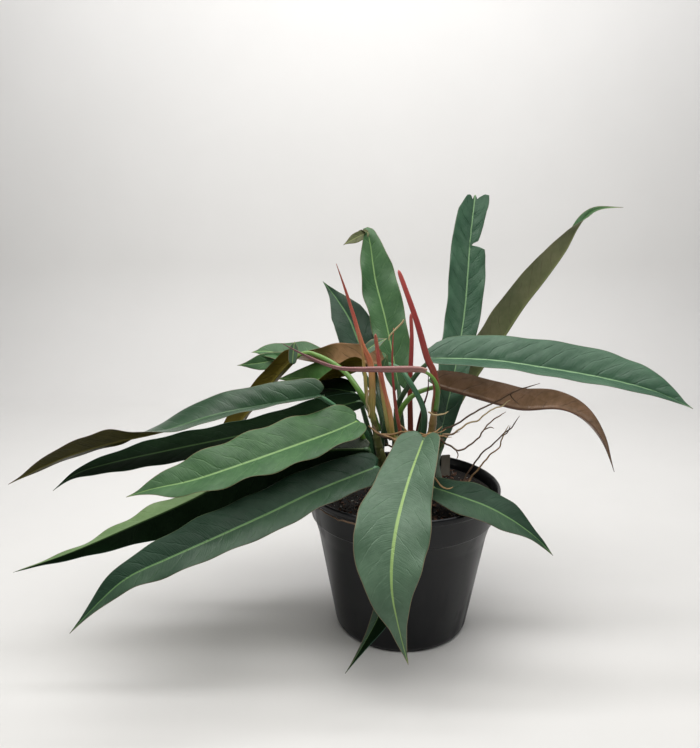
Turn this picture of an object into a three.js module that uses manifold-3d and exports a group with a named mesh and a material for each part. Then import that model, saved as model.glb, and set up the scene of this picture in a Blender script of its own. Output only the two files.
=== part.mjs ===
// A potted philodendron with long, narrow, heart-based leaves and red leaf sheaths, in a black
// nursery pot. Millimetres, +Z up. The origin is the centre of the pot's flat base. The plant's
// left is -X and its front, where the broadest leaf hangs over the rim, is -Y.

import * as THREE from 'three';
import { mergeVertices } from 'three/addons/utils/BufferGeometryUtils.js';
import Module from 'manifold-3d';

// ---------------------------------------------------------------- driving dimensions

const GAP = 0.3; // between pieces that rest on or pass through each other

const POT = {
  height: 195,
  rimRadius: 127,
  collarFootRadius: 120, // lower edge of the flared collar
  collarFootZ: 156,
  neckRadius: 111, // where the wall starts under the collar's shoulder
  neckZ: 133,
  baseRadius: 88,
  baseRounding: 5,
  wall: 2.5,
  lip: 4, // thickness of the rolled rim
  segments: 60,
  holeRadius: 6,
  holeRing: 66, // distance of the drainage holes from the middle
  holes: 6,
};

const SOIL_TOP = 178;
const SOIL_CROWN = 3; // the soil is this much higher in the middle

const BLADE = { thickness: 1.2, stations: 14, across: 5 };
const PETIOLE = { base: 4.2, end: 3, sides: 7, steps: 8 };
const SHEATH = { sides: 7, steps: 9, tip: 0.8 };
const ROOT = { radius: 1.1, sides: 5, steps: 11 };
const STEM = { sides: 10, steps: 6 };
const LABEL = { width: 13, thickness: 0.8, bottom: 140, top: 213, x: 69, y: 56, turn: 15 };

const COLOURS = {
  pot: 0x24262a,
  soil: 0x2a2019,
  leaf: 0x4d7048,
  petiole: 0x4b7a46,
  stem: 0x6f7a3c,
  sheath: 0x9c3b38,
  root: 0x8a6a48,
  label: 0x6a645a,
};

// Half width of a blade, as a share of its widest, at shares of its length. Each pair is a place
// and a share. A blade is widest at 0.45 unless its own 'belly' says otherwise.
const OUTLINE = [
  [0, 0.42], [0.05, 0.62], [0.14, 0.8], [0.3, 0.94], [0.45, 1],
  [0.6, 0.86], [0.72, 0.56], [0.83, 0.28], [0.93, 0.1], [1, 0.03],
];
// A blade that has lost its tip stays broad to its torn end.
const TORN_OUTLINE = [[0, 0.35], [0.06, 0.6], [0.2, 0.85], [0.4, 1], [0.6, 1], [0.8, 0.9], [1, 0.6]];
const WIDEST_AT = 0.45;
const LOBE_REACH = 0.22; // share of the blade's length over which its basal lobes end

// Each leaf: the petiole's course from the stem to the blade, the midrib's course from there to
// the tip, the width, how far each half is folded up about the midrib (degrees), the way the
// upper side faces, and how far the basal lobes reach back. Lists of folds and faces are spread
// evenly from the blade's base to its tip.
const LEAVES = {
  front: {
    petiole: [[26, -20, 205], [25, -32, 240], [21, -42, 262]],
    spine: [[20, -45, 268], [-3, -100, 226], [-20, -150, 184], [-24, -175, 140], [-16, -180, 95],
      [-4, -176, 45]],
    width: 82, fold: [15, 12, 10], faces: [[-0.3, -0.6, 1], [0, -1, 0.5], [0, -1, 0.1]], lobe: 11,
  },
  under_front: {
    petiole: [[10, -18, 190], [10, -38, 207], [10, -54, 212]],
    spine: [[10, -60, 215], [-5, -125, 202], [-22, -144, 135], [-37, -148, 88], [-58, -153, 48],
      [-75, -155, 19]],
    width: 38, fold: [10], faces: [[0, -0.5, 1], [0, -1, 0.2], [0, -1, 0]], lobe: 10,
  },
  right_low: {
    petiole: [[40, -16, 190], [41, -38, 203], [35, -55, 209]],
    spine: [[33, -60, 210], [63, -85, 208], [95, -105, 202], [127, -120, 187], [148, -130, 172],
      [162, -137, 158]],
    width: 54, fold: [15], faces: [[-0.15, -0.45, 0.9]], lobe: 12,
  },
  right: {
    petiole: [[-6, 26, 250], [-6, 28, 290], [6, 24, 316], [21, 16, 341], [33, 12, 354]],
    spine: [[36, 10, 358], [110, -5, 358], [170, -15, 351], [245, -30, 340], [305, -45, 326],
      [345, -55, 309]],
    width: 76, fold: [28], faces: [[0, -0.5, 0.85]], belly: 0.55, lobe: 8,
  },
  right_drooping: {
    petiole: [[-8, 15, 245], [-6, 14, 280], [5, 16, 300], [20, 20, 311], [42, 25, 317]],
    spine: [[45, 25, 318], [103, 30, 300], [160, 35, 284], [215, 40, 283], [252, 42, 266],
      [276, 44, 238], [296, 45, 192]],
    width: 62, fold: [60, 60, 50, 50],
    faces: [[0, 0.7, 0.7], [0, 0.7, 0.7], [0.3, 0.85, 0.4], [0.5, 0.9, 0.3]],
    belly: 0.42, lobe: 12,
  },
  torn: {
    petiole: [[36, 8, 190], [42, 25, 215], [51, 42, 238]],
    spine: [[54, 45, 244], [76, 75, 332], [90, 100, 404], [99, 125, 505], [106, 140, 568]],
    width: 60, fold: [20], faces: [[0, -1, 0]], lobe: 10, torn: true,
  },
  tall_right: {
    petiole: [[50, 4, 192], [50, 38, 204], [58, 74, 211]],
    spine: [[61, 80, 217], [91, 86, 288], [147, 92, 376], [172, 95, 416], [198, 98, 450],
      [230, 104, 496], [241, 106, 520], [262, 107, 545], [300, 100, 549]],
    width: 58, fold: [50, 45, 38, 30],
    faces: [[-0.85, 0.3, 0.4], [-0.8, 0.5, 0.4], [-0.8, 0.5, 0.4], [-0.8, 0.5, 0.4], [-0.8, 0.5, 0.4],
      [0, -0.7, 0.7]],
    belly: 0.5, lobe: 8,
  },
  tall_back: {
    petiole: [[4, 20, 225], [0, 40, 270], [-3, 58, 309]],
    spine: [[-4, 60, 316], [-20, 95, 396], [-34, 120, 451], [-42, 138, 504], [-46, 141, 515],
      [-57, 138, 511], [-79, 125, 498]],
    width: 56, fold: [20], faces: [[0.1, -1, 0.2], [0.1, -1, 0.2], [0.1, -1, 0.2], [0.3, 0.8, 0.5]],
    lobe: 12,
  },
  back_slender: {
    petiole: [[-22, 26, 235], [-30, 50, 300], [-35, 78, 330]],
    spine: [[-36, 88, 339], [-54, 110, 357], [-71, 138, 393], [-94, 165, 425], [-110, 180, 443]],
    width: 46, fold: [15], faces: [[0.1, -1, 0.3]], belly: 0.42, lobe: 10,
  },
  back_left_far: {
    petiole: [[24, 8, 235], [26, -4, 290], [12, -4, 322], [-6, 10, 345], [-28, 35, 352]],
    spine: [[-33, 40, 351], [-56, 58, 347], [-82, 76, 341], [-114, 94, 338], [-155, 112, 341],
      [-190, 122, 347], [-212, 126, 345]],
    width: 58, fold: [60, 50, 20, 10],
    faces: [[0, 0.7, 0.7], [0, 0.6, 0.8], [0, -0.4, 0.9], [0, -0.7, 0.8]], lobe: 10,
  },
  back_left_hanging: {
    petiole: [[-33, 9, 262], [-39, 8, 284], [-50, 6, 304], [-60, 12, 319], [-72, 24, 333],
      [-90, 40, 346], [-112, 52, 355], [-126, 57, 357], [-137, 59, 354]],
    spine: [[-142, 60, 351], [-158, 66, 336], [-186, 70, 302], [-215, 73, 266], [-250, 74, 223],
      [-292, 70, 190]],
    width: 41, fold: [30], faces: [[-0.3, 0.7, 0.6]], belly: 0.5, lobe: 6,
  },
  back_left_near: {
    petiole: [[-19, 14, 250], [-34, 36, 296], [-50, 46, 331]],
    spine: [[-53, 49, 338], [-83, 66, 323], [-120, 86, 313], [-148, 102, 312], [-174, 114, 308]],
    width: 50, fold: [40, 20, 20], faces: [[0, 0.5, 0.9], [0, -0.6, 0.7], [0, -0.8, 0.6]], lobe: 8,
  },
  back_left_inner: {
    petiole: [[-28, 20, 236], [-44, 38, 283], [-61, 52, 298]],
    spine: [[-67, 56, 302], [-92, 70, 303], [-120, 84, 298], [-150, 95, 286]],
    width: 42, fold: [15], faces: [[0, -0.6, 0.9]], lobe: 8,
  },
  left_twisted: {
    petiole: [[-38, 2, 222], [-44, 0, 252], [-58, -8, 276], [-82, -16, 297], [-105, -19, 314]],
    spine: [[-110, -20, 316], [-170, -20, 305], [-238, -22, 292], [-303, -25, 272],
      [-374, -20, 254], [-442, -15, 231], [-515, -10, 195]],
    width: 60, fold: [40, 34, 14, 16, 20, 20],
    faces: [[0, -0.5, 0.85], [0, -0.4, 0.9], [0, 0.1, 1], [0, 0.62, 0.78], [0, 0.7, 0.7]],
    belly: 0.4, lobe: 10,
  },
  left_middle: {
    petiole: [[-36, 11, 230], [-45, 18, 262], [-54, 25, 292]],
    spine: [[-58, 26, 297], [-109, 22, 284], [-202, 20, 255], [-295, 15, 236], [-386, 5, 218],
      [-431, 0, 205], [-460, -5, 184]],
    width: 72, fold: [4], faces: [[0, -0.26, 1]], belly: 0.5, lobe: 8,
  },
  left_bright: {
    petiole: [[-37, -9, 203], [-48, -16, 248], [-60, -34, 282]],
    spine: [[-62, -37, 287], [-85, -50, 280], [-140, -80, 268], [-196, -105, 255],
      [-251, -120, 241], [-295, -128, 234], [-322, -130, 226]],
    width: 72, fold: [20], faces: [[0, -0.55, 0.83]], lobe: 6,
  },
  left_folded: {
    petiole: [[-30, -16, 192], [-37, -24, 226], [-45, -34, 245]],
    spine: [[-48, -37, 252], [-101, -48, 254], [-173, -72, 247], [-259, -93, 207],
      [-329, -104, 178], [-400, -110, 148], [-468, -112, 124]],
    width: 60, fold: [-26, -36, -42, -42], faces: [[0, -0.8, 0.6]],
    belly: 0.42, lobe: 5,
  },
  left_low: {
    petiole: [[-14, -18, 192], [-24, -36, 216], [-34, -48, 229]],
    spine: [[-38, -52, 233], [-110, -98, 220], [-160, -128, 206], [-223, -158, 187],
      [-270, -174, 171], [-309, -186, 156], [-340, -196, 130], [-370, -198, 98]],
    width: 58, fold: [12], faces: [[0, -0.6, 0.8]], belly: 0.4, lobe: 10,
  },
};

const STEMS = {
  left: { course: [[-20, 0, 150], [-24, -1, 205], [-33, -3, 250], [-40, -5, 286]], radii: [8, 3.4] },
  middle: { course: [[2, 5, 150], [1, 5, 200], [-3, 1, 235], [-9, -4, 258]], radii: [8, 4] },
  right: { course: [[22, -5, 150], [26, -6, 200], [34, -9, 250], [38, -13, 300]], radii: [8, 4] },
};

// Red sheaths that wrapped the young leaves, each rising from a stem's end or a node on it.
const SHEATHS = {
  left_tall: {
    course: [[-41, -6, 292], [-41, -6, 327], [-44, -6, 357], [-54, -7, 379], [-64, -8, 413],
      [-75, -10, 448], [-84, -12, 475]],
    radius: 4.4,
  },
  left_short: {
    course: [[-15, -10, 262], [-19, -11, 292], [-26, -12, 319], [-33, -13, 358], [-38, -14, 390]],
    radius: 3.6,
  },
  middle_slim: {
    course: [[-5, -8, 266], [-10, -6, 293], [-14, -6, 326], [-16, -6, 359], [-15, -6, 389]],
    radius: 2.6,
  },
  middle_back: {
    course: [[12, 32, 250], [11, 36, 298], [11, 38, 325], [12, 38, 379], [10, 38, 413]],
    radius: 3,
  },
  maroon: { course: [[20, 16, 262], [24, 12, 287], [32, 14, 314], [33, 20, 336]], radius: 2.4 },
  right_tall: {
    course: [[38, -14, 304], [40, -15, 320], [35, -15, 347], [28, -15, 361], [14, -13, 407],
      [-2, -9, 451], [-10, -6, 472]],
    radius: 4.4,
  },
  arching: {
    course: [[46, -23, 300], [45, -25, 322], [38, -26, 338], [27, -26, 348], [8, -27, 352],
      [-32, -28, 352], [-82, -31, 354], [-106, -33, 362], [-130, -35, 374], [-152, -37, 386]],
    radius: 3,
  },
};

// Thin roots that grow out of the stems into the air, and one that lies over the rim.
const ROOTS = {
  upper: [[52, 12, 262], [56, 10, 265], [69, 5, 272], [92, 0, 290], [114, -5, 303], [134, -10, 316],
    [151, -12, 325], [169, -14, 330]],
  pale: [[50, -8, 262], [64, -14, 266], [79, -18, 279], [96, -20, 287], [107, -22, 298],
    [121, -24, 305], [131, -26, 312]],
  dark: [[46, -16, 258], [56, -20, 252], [66, -24, 246], [80, -26, 252], [91, -28, 262],
    [98, -30, 275], [112, -31, 290], [125, -32, 300]],
  back: [[84, 30, 181], [98, 40, 201], [106, 42, 213], [123, 45, 229], [139, 48, 243],
    [153, 50, 256], [163, 52, 270]],
  gold: [[86, 18, 181], [104, 26, 203], [120, 30, 221], [133, 32, 233], [136, 32, 244],
    [143, 32, 262]],
  tan: [[30, -56, 186], [40, -66, 190], [48, -72, 196], [58, -70, 200]],
  rim: [[-18, -92, 181.5], [-27, -108, 190], [-36, -120, 198], [-47, -121, 192],
    [-60, -113, 186], [-80, -100, 184.5], [-97, -83, 185.5], [-112, -62, 188]],
};

// ---------------------------------------------------------------- geometry helpers

const vec = ([x, y, z]) => new THREE.Vector3(x, y, z);

/** Value of a piecewise straight line through [place, value] pairs. */
function alongPairs(pairs, place) {
  const next = Math.max(1, pairs.findIndex(([at]) => at >= place));
  const [a, va] = pairs[next - 1];
  const [b, vb] = pairs[next];
  return va + ((vb - va) * (place - a)) / (b - a);
}

/** Value at share t of a list of numbers spread evenly from 0 to 1. */
function alongList(list, t) {
  const last = list.length - 1;
  if (last === 0) return list[0];
  const i = Math.min(Math.floor(t * last), last - 1);
  return THREE.MathUtils.lerp(list[i], list[i + 1], t * last - i);
}

/** Evenly spaced points on the smooth curve through a course. */
function spaced(course, steps) {
  return new THREE.CatmullRomCurve3(course.map(vec), false, 'centripetal').getSpacedPoints(steps);
}

/** Unit tangent at point i of a row of points. */
function tangent(points, i) {
  const ahead = points[Math.min(i + 1, points.length - 1)];
  const behind = points[Math.max(i - 1, 0)];
  return ahead.clone().sub(behind).normalize();
}

/** Geometry from points and triangles of indices into them. */
function fromTriangles(points, triangles) {
  const geometry = new THREE.BufferGeometry();
  geometry.setFromPoints(points);
  geometry.setIndex(triangles.flat());
  geometry.computeVertexNormals();
  return geometry;
}

/** A closed slab between an upper and a lower grid of points, rows along and columns across. */
function slab(upper, lower) {
  const rows = upper.length;
  const columns = upper[0].length;
  const points = [...upper.flat(), ...lower.flat()];
  const top = (i, j) => i * columns + j;
  const bottom = (i, j) => rows * columns + i * columns + j;
  const triangles = [];
  const quad = (a, b, c, d) => triangles.push([a, b, c], [a, c, d]);
  for (let i = 0; i < rows - 1; i += 1) {
    for (let j = 0; j < columns - 1; j += 1) {
      quad(top(i, j), top(i, j + 1), top(i + 1, j + 1), top(i + 1, j));
      quad(bottom(i, j), bottom(i + 1, j), bottom(i + 1, j + 1), bottom(i, j + 1));
    }
    const end = columns - 1;
    quad(top(i, 0), top(i + 1, 0), bottom(i + 1, 0), bottom(i, 0));
    quad(top(i, end), bottom(i, end), bottom(i + 1, end), top(i + 1, end));
  }
  for (let j = 0; j < columns - 1; j += 1) {
    const end = rows - 1;
    quad(top(0, j), bottom(0, j), bottom(0, j + 1), top(0, j + 1));
    quad(top(end, j), top(end, j + 1), bottom(end, j + 1), bottom(end, j));
  }
  return fromTriangles(points, triangles);
}

/** A capped round tube along a course, its radius going from the first to the last of radii. */
function tube(course, radii, sides, steps) {
  const centres = spaced(course, steps);
  const points = [];
  let side = new THREE.Vector3(1, 0.3, 0);
  centres.forEach((centre, i) => {
    const along = tangent(centres, i);
    side = side.sub(along.clone().multiplyScalar(side.dot(along))).normalize();
    const other = along.clone().cross(side);
    const radius = alongList(radii, i / steps);
    for (let k = 0; k < sides; k += 1) {
      const angle = (k / sides) * 2 * Math.PI;
      points.push(centre.clone()
        .addScaledVector(side, radius * Math.cos(angle))
        .addScaledVector(other, radius * Math.sin(angle)));
    }
    side = side.clone();
  });
  const first = points.push(centres[0]) - 1;
  const last = points.push(centres[steps]) - 1;
  const triangles = [];
  for (let k = 0; k < sides; k += 1) {
    const next = (k + 1) % sides;
    for (let i = 0; i < steps; i += 1) {
      const a = i * sides;
      const b = a + sides;
      triangles.push([a + k, a + next, b + next], [a + k, b + next, b + k]);
    }
    triangles.push([first, next, k]);
    triangles.push([last, steps * sides + k, steps * sides + next]);
  }
  return fromTriangles(points, triangles);
}

/** A leaf blade: a thin slab along its midrib, folded about it, with two lobes at its base. */
function blade(leaf) {
  const { stations, across, thickness } = BLADE;
  const centres = spaced(leaf.spine, stations);
  const outline = leaf.torn ? TORN_OUTLINE : OUTLINE;
  const warp = Math.log(WIDEST_AT) / Math.log(leaf.belly ?? WIDEST_AT);
  const upper = [];
  const lower = [];
  centres.forEach((centre, i) => {
    const t = i / stations;
    const along = tangent(centres, i);
    const face = vec([0, 1, 2].map((axis) => alongList(leaf.faces.map((f) => f[axis]), t)));
    face.addScaledVector(along, -face.dot(along)).normalize();
    const side = along.clone().cross(face);
    const fold = THREE.MathUtils.degToRad(alongList(leaf.fold, t));
    const half = (leaf.width / 2) * alongPairs(outline, t ** warp);
    const lobe = leaf.lobe * Math.max(0, 1 - t / LOBE_REACH) ** 1.5;
    const row = [];
    for (let j = 0; j < across; j += 1) {
      const s = (2 * j) / (across - 1) - 1;
      row.push(centre.clone()
        .addScaledVector(side, half * s * Math.cos(fold))
        .addScaledVector(face, half * Math.abs(s) * Math.sin(fold))
        .addScaledVector(along, -lobe * Math.sin((Math.abs(s) * Math.PI) / 2)));
    }
    upper.push(row.map((p) => p.clone().addScaledVector(face, thickness / 2)));
    lower.push(row.map((p) => p.clone().addScaledVector(face, -thickness / 2)));
  });
  return slab(upper, lower);
}

/** A closed turned shape from a profile of [radius, height] pairs, turned to stand on Z. */
function turned(profile, segments) {
  const lathe = new THREE.LatheGeometry(profile.map(([r, z]) => new THREE.Vector2(r, z)), segments);
  return lathe.rotateX(Math.PI / 2);
}

// ---------------------------------------------------------------- solid cuts

const wasm = await Module();
wasm.setup();

/** The manifold solid of a closed geometry. */
function solidOf(geometry) {
  const bare = geometry.clone();
  bare.deleteAttribute('normal');
  bare.deleteAttribute('uv');
  const merged = mergeVertices(bare, 1e-4);
  return new wasm.Manifold(new wasm.Mesh({
    numProp: 3,
    vertProperties: new Float32Array(merged.attributes.position.array),
    triVerts: new Uint32Array(merged.index.array),
  }));
}

/** A geometry with others cut out of it. */
function cut(geometry, tools) {
  let solid = solidOf(geometry);
  tools.forEach((tool) => { solid = solid.subtract(solidOf(tool)); });
  const { vertProperties, triVerts } = solid.getMesh();
  const result = new THREE.BufferGeometry();
  result.setAttribute('position', new THREE.BufferAttribute(vertProperties, 3));
  result.setIndex(new THREE.BufferAttribute(triVerts, 1));
  result.computeVertexNormals();
  return result;
}

// ---------------------------------------------------------------- pieces

/** Radius of the pot's outer wall at height z, below the collar's rolled lip. */
function potRadius(z) {
  return alongPairs([
    [0, POT.baseRadius], [POT.neckZ, POT.neckRadius], [POT.collarFootZ, POT.collarFootRadius],
    [POT.height, POT.rimRadius],
  ], z);
}

/** The pot: a turned shell with a flared collar, a rolled lip and drainage holes in its base. */
function potGeometry() {
  const { height, rimRadius, wall, lip, baseRadius, baseRounding } = POT;
  const outside = [
    [0, 0], [baseRadius - baseRounding, 0], [baseRadius - 1.5, 1.5],
    [potRadius(baseRounding), baseRounding], [POT.neckRadius, POT.neckZ],
    [POT.neckRadius + 3.5, POT.neckZ + 12], [POT.collarFootRadius, POT.collarFootZ],
    [rimRadius, height - lip], [rimRadius - 1, height - 1], [rimRadius - 2, height],
  ];
  const inside = [
    [rimRadius - lip, height], [rimRadius - lip - 0.6, height - lip],
    [POT.collarFootRadius - wall, POT.collarFootZ], [POT.neckRadius - wall, POT.neckZ],
    [potRadius(wall) - wall, wall], [0, wall],
  ];
  const shell = turned([...outside, ...inside], POT.segments);
  const drill = new THREE.CylinderGeometry(POT.holeRadius, POT.holeRadius, 4 * wall, 16)
    .rotateX(Math.PI / 2);
  const drills = Array.from({ length: POT.holes }, (_, i) => {
    const angle = ((i + 0.5) / POT.holes) * 2 * Math.PI;
    return drill.clone()
      .translate(POT.holeRing * Math.cos(angle), POT.holeRing * Math.sin(angle), wall);
  });
  return cut(shell, drills);
}

/** The label's box, standing in the soil, grown by a margin on every side. */
function labelGeometry(margin) {
  const { width, thickness, bottom, top, x, y, turn } = LABEL;
  return new THREE.BoxGeometry(width + 2 * margin, thickness + 2 * margin, top - bottom + 2 * margin)
    .rotateZ(THREE.MathUtils.degToRad(turn))
    .translate(x, y, (top + bottom) / 2);
}

const stemGeometry = ({ course, radii }, margin) => (
  tube(course, radii.map((r) => r + margin), STEM.sides, STEM.steps));

/** The soil: it fills the pot to below the rim, with room for the stems and the label. */
function soilGeometry() {
  const inset = POT.wall + GAP;
  const profile = [
    [0, POT.wall + GAP], [potRadius(POT.wall) - inset, POT.wall + GAP],
    [POT.neckRadius - inset, POT.neckZ], [POT.collarFootRadius - inset, POT.collarFootZ],
    [potRadius(SOIL_TOP) - inset - 1, SOIL_TOP], [40, SOIL_TOP + SOIL_CROWN - 1],
    [0, SOIL_TOP + SOIL_CROWN],
  ];
  const lowered = (course) => [[course[0][0], course[0][1], course[0][2] - GAP], ...course.slice(1)];
  const sockets = Object.values(STEMS).map((stem) => (
    stemGeometry({ ...stem, course: lowered(stem.course) }, GAP)));
  return cut(turned(profile, POT.segments), [...sockets, labelGeometry(GAP)]);
}

// ---------------------------------------------------------------- assembly

const group = new THREE.Group();

/** Adds one named piece to the group. */
function add(name, geometry, color, roughness) {
  const material = new THREE.MeshStandardMaterial({ color, roughness, metalness: 0 });
  const mesh = new THREE.Mesh(geometry, material);
  mesh.name = name;
  group.add(mesh);
}

add('pot', potGeometry(), COLOURS.pot, 0.4);
add('soil', soilGeometry(), COLOURS.soil, 1);
add('plant_label', labelGeometry(0), COLOURS.label, 0.6);

Object.entries(STEMS).forEach(([name, stem]) => {
  add(`stem_${name}`, stemGeometry(stem, 0), COLOURS.stem, 0.6);
});

Object.entries(LEAVES).forEach(([name, leaf]) => {
  const radii = [PETIOLE.base, PETIOLE.end];
  add(`petiole_${name}`, tube(leaf.petiole, radii, PETIOLE.sides, PETIOLE.steps),
    COLOURS.petiole, 0.5);
  add(`leaf_${name}`, blade(leaf), COLOURS.leaf, 0.45);
});

Object.entries(SHEATHS).forEach(([name, { course, radius }]) => {
  const radii = [radius, radius, radius * 0.8, SHEATH.tip];
  add(`sheath_${name}`, tube(course, radii, SHEATH.sides, SHEATH.steps), COLOURS.sheath, 0.5);
});

Object.entries(ROOTS).forEach(([name, course]) => {
  const radii = [ROOT.radius, ROOT.radius * 0.5];
  add(`aerial_root_${name}`, tube(course, radii, ROOT.sides, ROOT.steps), COLOURS.root, 0.8);
});

export default group;
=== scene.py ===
"""A potted philodendron with long, narrow leaves and red sheaths, in a black nursery pot.

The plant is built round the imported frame: every leaf, stalk, sheath and root follows the course
that its solid follows, and the pot, the soil and the label fit the boxes of theirs. Courses and
leaf sizes are in millimetres, as in the part's source, and become metres in one place.
"""

import logging
import math
from collections.abc import Callable
from dataclasses import dataclass
from enum import Enum

import bmesh
import bpy
import numpy as np
from mathutils import Matrix, Vector


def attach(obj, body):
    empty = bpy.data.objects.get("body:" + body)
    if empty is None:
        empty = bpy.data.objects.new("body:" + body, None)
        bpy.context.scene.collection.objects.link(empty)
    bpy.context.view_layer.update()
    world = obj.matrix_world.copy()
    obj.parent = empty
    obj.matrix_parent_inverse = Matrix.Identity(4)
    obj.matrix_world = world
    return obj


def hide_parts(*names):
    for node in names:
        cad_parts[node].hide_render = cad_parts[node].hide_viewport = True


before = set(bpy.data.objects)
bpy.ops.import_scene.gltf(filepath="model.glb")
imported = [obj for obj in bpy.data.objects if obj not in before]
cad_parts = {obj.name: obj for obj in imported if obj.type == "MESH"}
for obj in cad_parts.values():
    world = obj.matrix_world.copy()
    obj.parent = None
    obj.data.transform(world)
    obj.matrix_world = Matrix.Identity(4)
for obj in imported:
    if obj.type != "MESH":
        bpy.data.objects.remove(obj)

logging.basicConfig(level=logging.INFO, format="%(message)s")
LOG = logging.getLogger("philodendron")

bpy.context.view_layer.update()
MM = 0.001
FINE = 400  # steps at which courses and tables are smoothed
BODY = "root"

Rgb = tuple[float, float, float]
Triple = tuple[float, float, float]


# ------------------------------------------------------------------ finishes


@dataclass(frozen=True)
class LeafFinish:
    """One side of a blade.

    Attributes:
        base: colour of the blade between its veins.
        shade: darker colour of its mottling.
        rib: colour of the midrib.
        vein: colour of the side veins.
        margin: colour of the thin edge.
        vein_share: how strongly the side veins show, 0 to 1.
        rib_share: how strongly the midrib shows, 0 to 1.
        clears: millimetres from the base at which the painted base shadow has cleared.
        roughness: middle roughness.
        coat: weight of the waxy coat.
        sheen: specular level of the skin.
    """

    base: Rgb
    shade: Rgb
    rib: Rgb
    vein: Rgb
    margin: Rgb
    vein_share: float = 0.35
    rib_share: float = 1.0
    roughness: float = 0.45
    coat: float = 0.06
    sheen: float = 0.26
    clears: float = 0.0


# Near-black colour painted over a blade's base: painted shadow of the leaves above it.
PAINTED_BASE_SHADOW: Rgb = (0.004, 0.010, 0.003)


@dataclass(frozen=True)
class StrandFinish:
    """A stalk, stem, sheath or root: colours from its foot to its tip.

    Attributes:
        ramp: (place along the strand, colour) pairs.
        streak: colour of the fine lengthwise streaks.
        streak_share: how strongly the streaks show.
        roughness: middle roughness.
        coat: weight of the waxy coat.
        bump: strength of the surface relief.
    """

    ramp: tuple[tuple[float, Rgb], ...]
    streak: Rgb
    streak_share: float = 0.3
    roughness: float = 0.4
    coat: float = 0.1
    bump: float = 0.2


class Upper(Enum):
    """Finishes of a blade's upper side."""

    GREY_GREEN = LeafFinish((0.100, 0.172, 0.108), (0.062, 0.118, 0.070), (0.27, 0.41, 0.14),
        (0.14, 0.23, 0.14), (0.24, 0.17, 0.10), vein_share=0.25)
    FRESH = LeafFinish((0.065, 0.146, 0.057), (0.032, 0.088, 0.032), (0.18, 0.31, 0.11),
        (0.115, 0.23, 0.085), (0.18, 0.15, 0.08), vein_share=0.3)
    VIVID = LeafFinish((0.090, 0.215, 0.055), (0.052, 0.140, 0.032), (0.20, 0.36, 0.11),
        (0.13, 0.26, 0.08), (0.18, 0.15, 0.08), vein_share=0.3)
    DUSKY = LeafFinish((0.036, 0.078, 0.040), (0.020, 0.050, 0.026), (0.11, 0.20, 0.075),
        (0.065, 0.13, 0.06), (0.13, 0.10, 0.06), vein_share=0.3, coat=0.03)
    # Its base carries a painted shadow that fades out 170 mm from the base.
    YOUNG = LeafFinish((0.175, 0.270, 0.115), (0.125, 0.205, 0.085), (0.16, 0.25, 0.10),
        (0.15, 0.24, 0.10), (0.20, 0.20, 0.10), vein_share=0.2, rib_share=0.6, clears=170.0)
    GLOSSY = LeafFinish((0.030, 0.078, 0.034), (0.015, 0.048, 0.020), (0.07, 0.15, 0.06),
        (0.030, 0.080, 0.036), (0.10, 0.11, 0.05), vein_share=0.5, roughness=0.34, coat=0.4)
    BLUE_GREEN = LeafFinish((0.060, 0.132, 0.076), (0.032, 0.084, 0.047), (0.21, 0.36, 0.18),
        (0.024, 0.068, 0.036), (0.11, 0.14, 0.08), vein_share=0.7, roughness=0.38, coat=0.12)
    # A deep green made darker still, in part painted shade for halves lying under other leaves.
    DEEP = LeafFinish((0.018, 0.050, 0.026), (0.010, 0.032, 0.016), (0.09, 0.19, 0.07),
        (0.016, 0.046, 0.024), (0.07, 0.10, 0.05), vein_share=0.5, coat=0.02, sheen=0.18)
    # Near-black copy of the green: painted shade for leaves and halves lying under other leaves.
    OLD = LeafFinish((0.005, 0.014, 0.005), (0.002, 0.008, 0.002), (0.03, 0.06, 0.02),
        (0.004, 0.011, 0.004), (0.07, 0.14, 0.10), vein_share=0.4, roughness=0.6, coat=0.0,
        sheen=0.03)


class Under(Enum):
    """Finishes of a blade's underside."""

    PINK_BROWN = LeafFinish((0.330, 0.195, 0.120), (0.17, 0.100, 0.050), (0.17, 0.085, 0.050),
        (0.11, 0.060, 0.032), (0.09, 0.04, 0.03), vein_share=0.6, roughness=0.3, coat=0.35)
    WARM_BROWN = LeafFinish((0.540, 0.310, 0.165), (0.36, 0.200, 0.095), (0.30, 0.16, 0.08),
        (0.22, 0.12, 0.06), (0.16, 0.08, 0.04), vein_share=0.6, roughness=0.4, coat=0.1)
    OLIVE = LeafFinish((0.150, 0.118, 0.012), (0.090, 0.070, 0.008), (0.20, 0.17, 0.03),
        (0.075, 0.060, 0.008), (0.10, 0.05, 0.02), vein_share=0.5, coat=0.0, sheen=0.14)
    DARK_OLIVE = LeafFinish((0.052, 0.046, 0.006), (0.032, 0.030, 0.004), (0.10, 0.09, 0.02),
        (0.030, 0.026, 0.004), (0.10, 0.05, 0.02), vein_share=0.5, coat=0.0, sheen=0.1)
    GREY_OLIVE = LeafFinish((0.170, 0.170, 0.085), (0.100, 0.120, 0.050), (0.22, 0.25, 0.10),
        (0.100, 0.088, 0.044), (0.13, 0.10, 0.05), vein_share=0.6, sheen=0.25)


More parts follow.
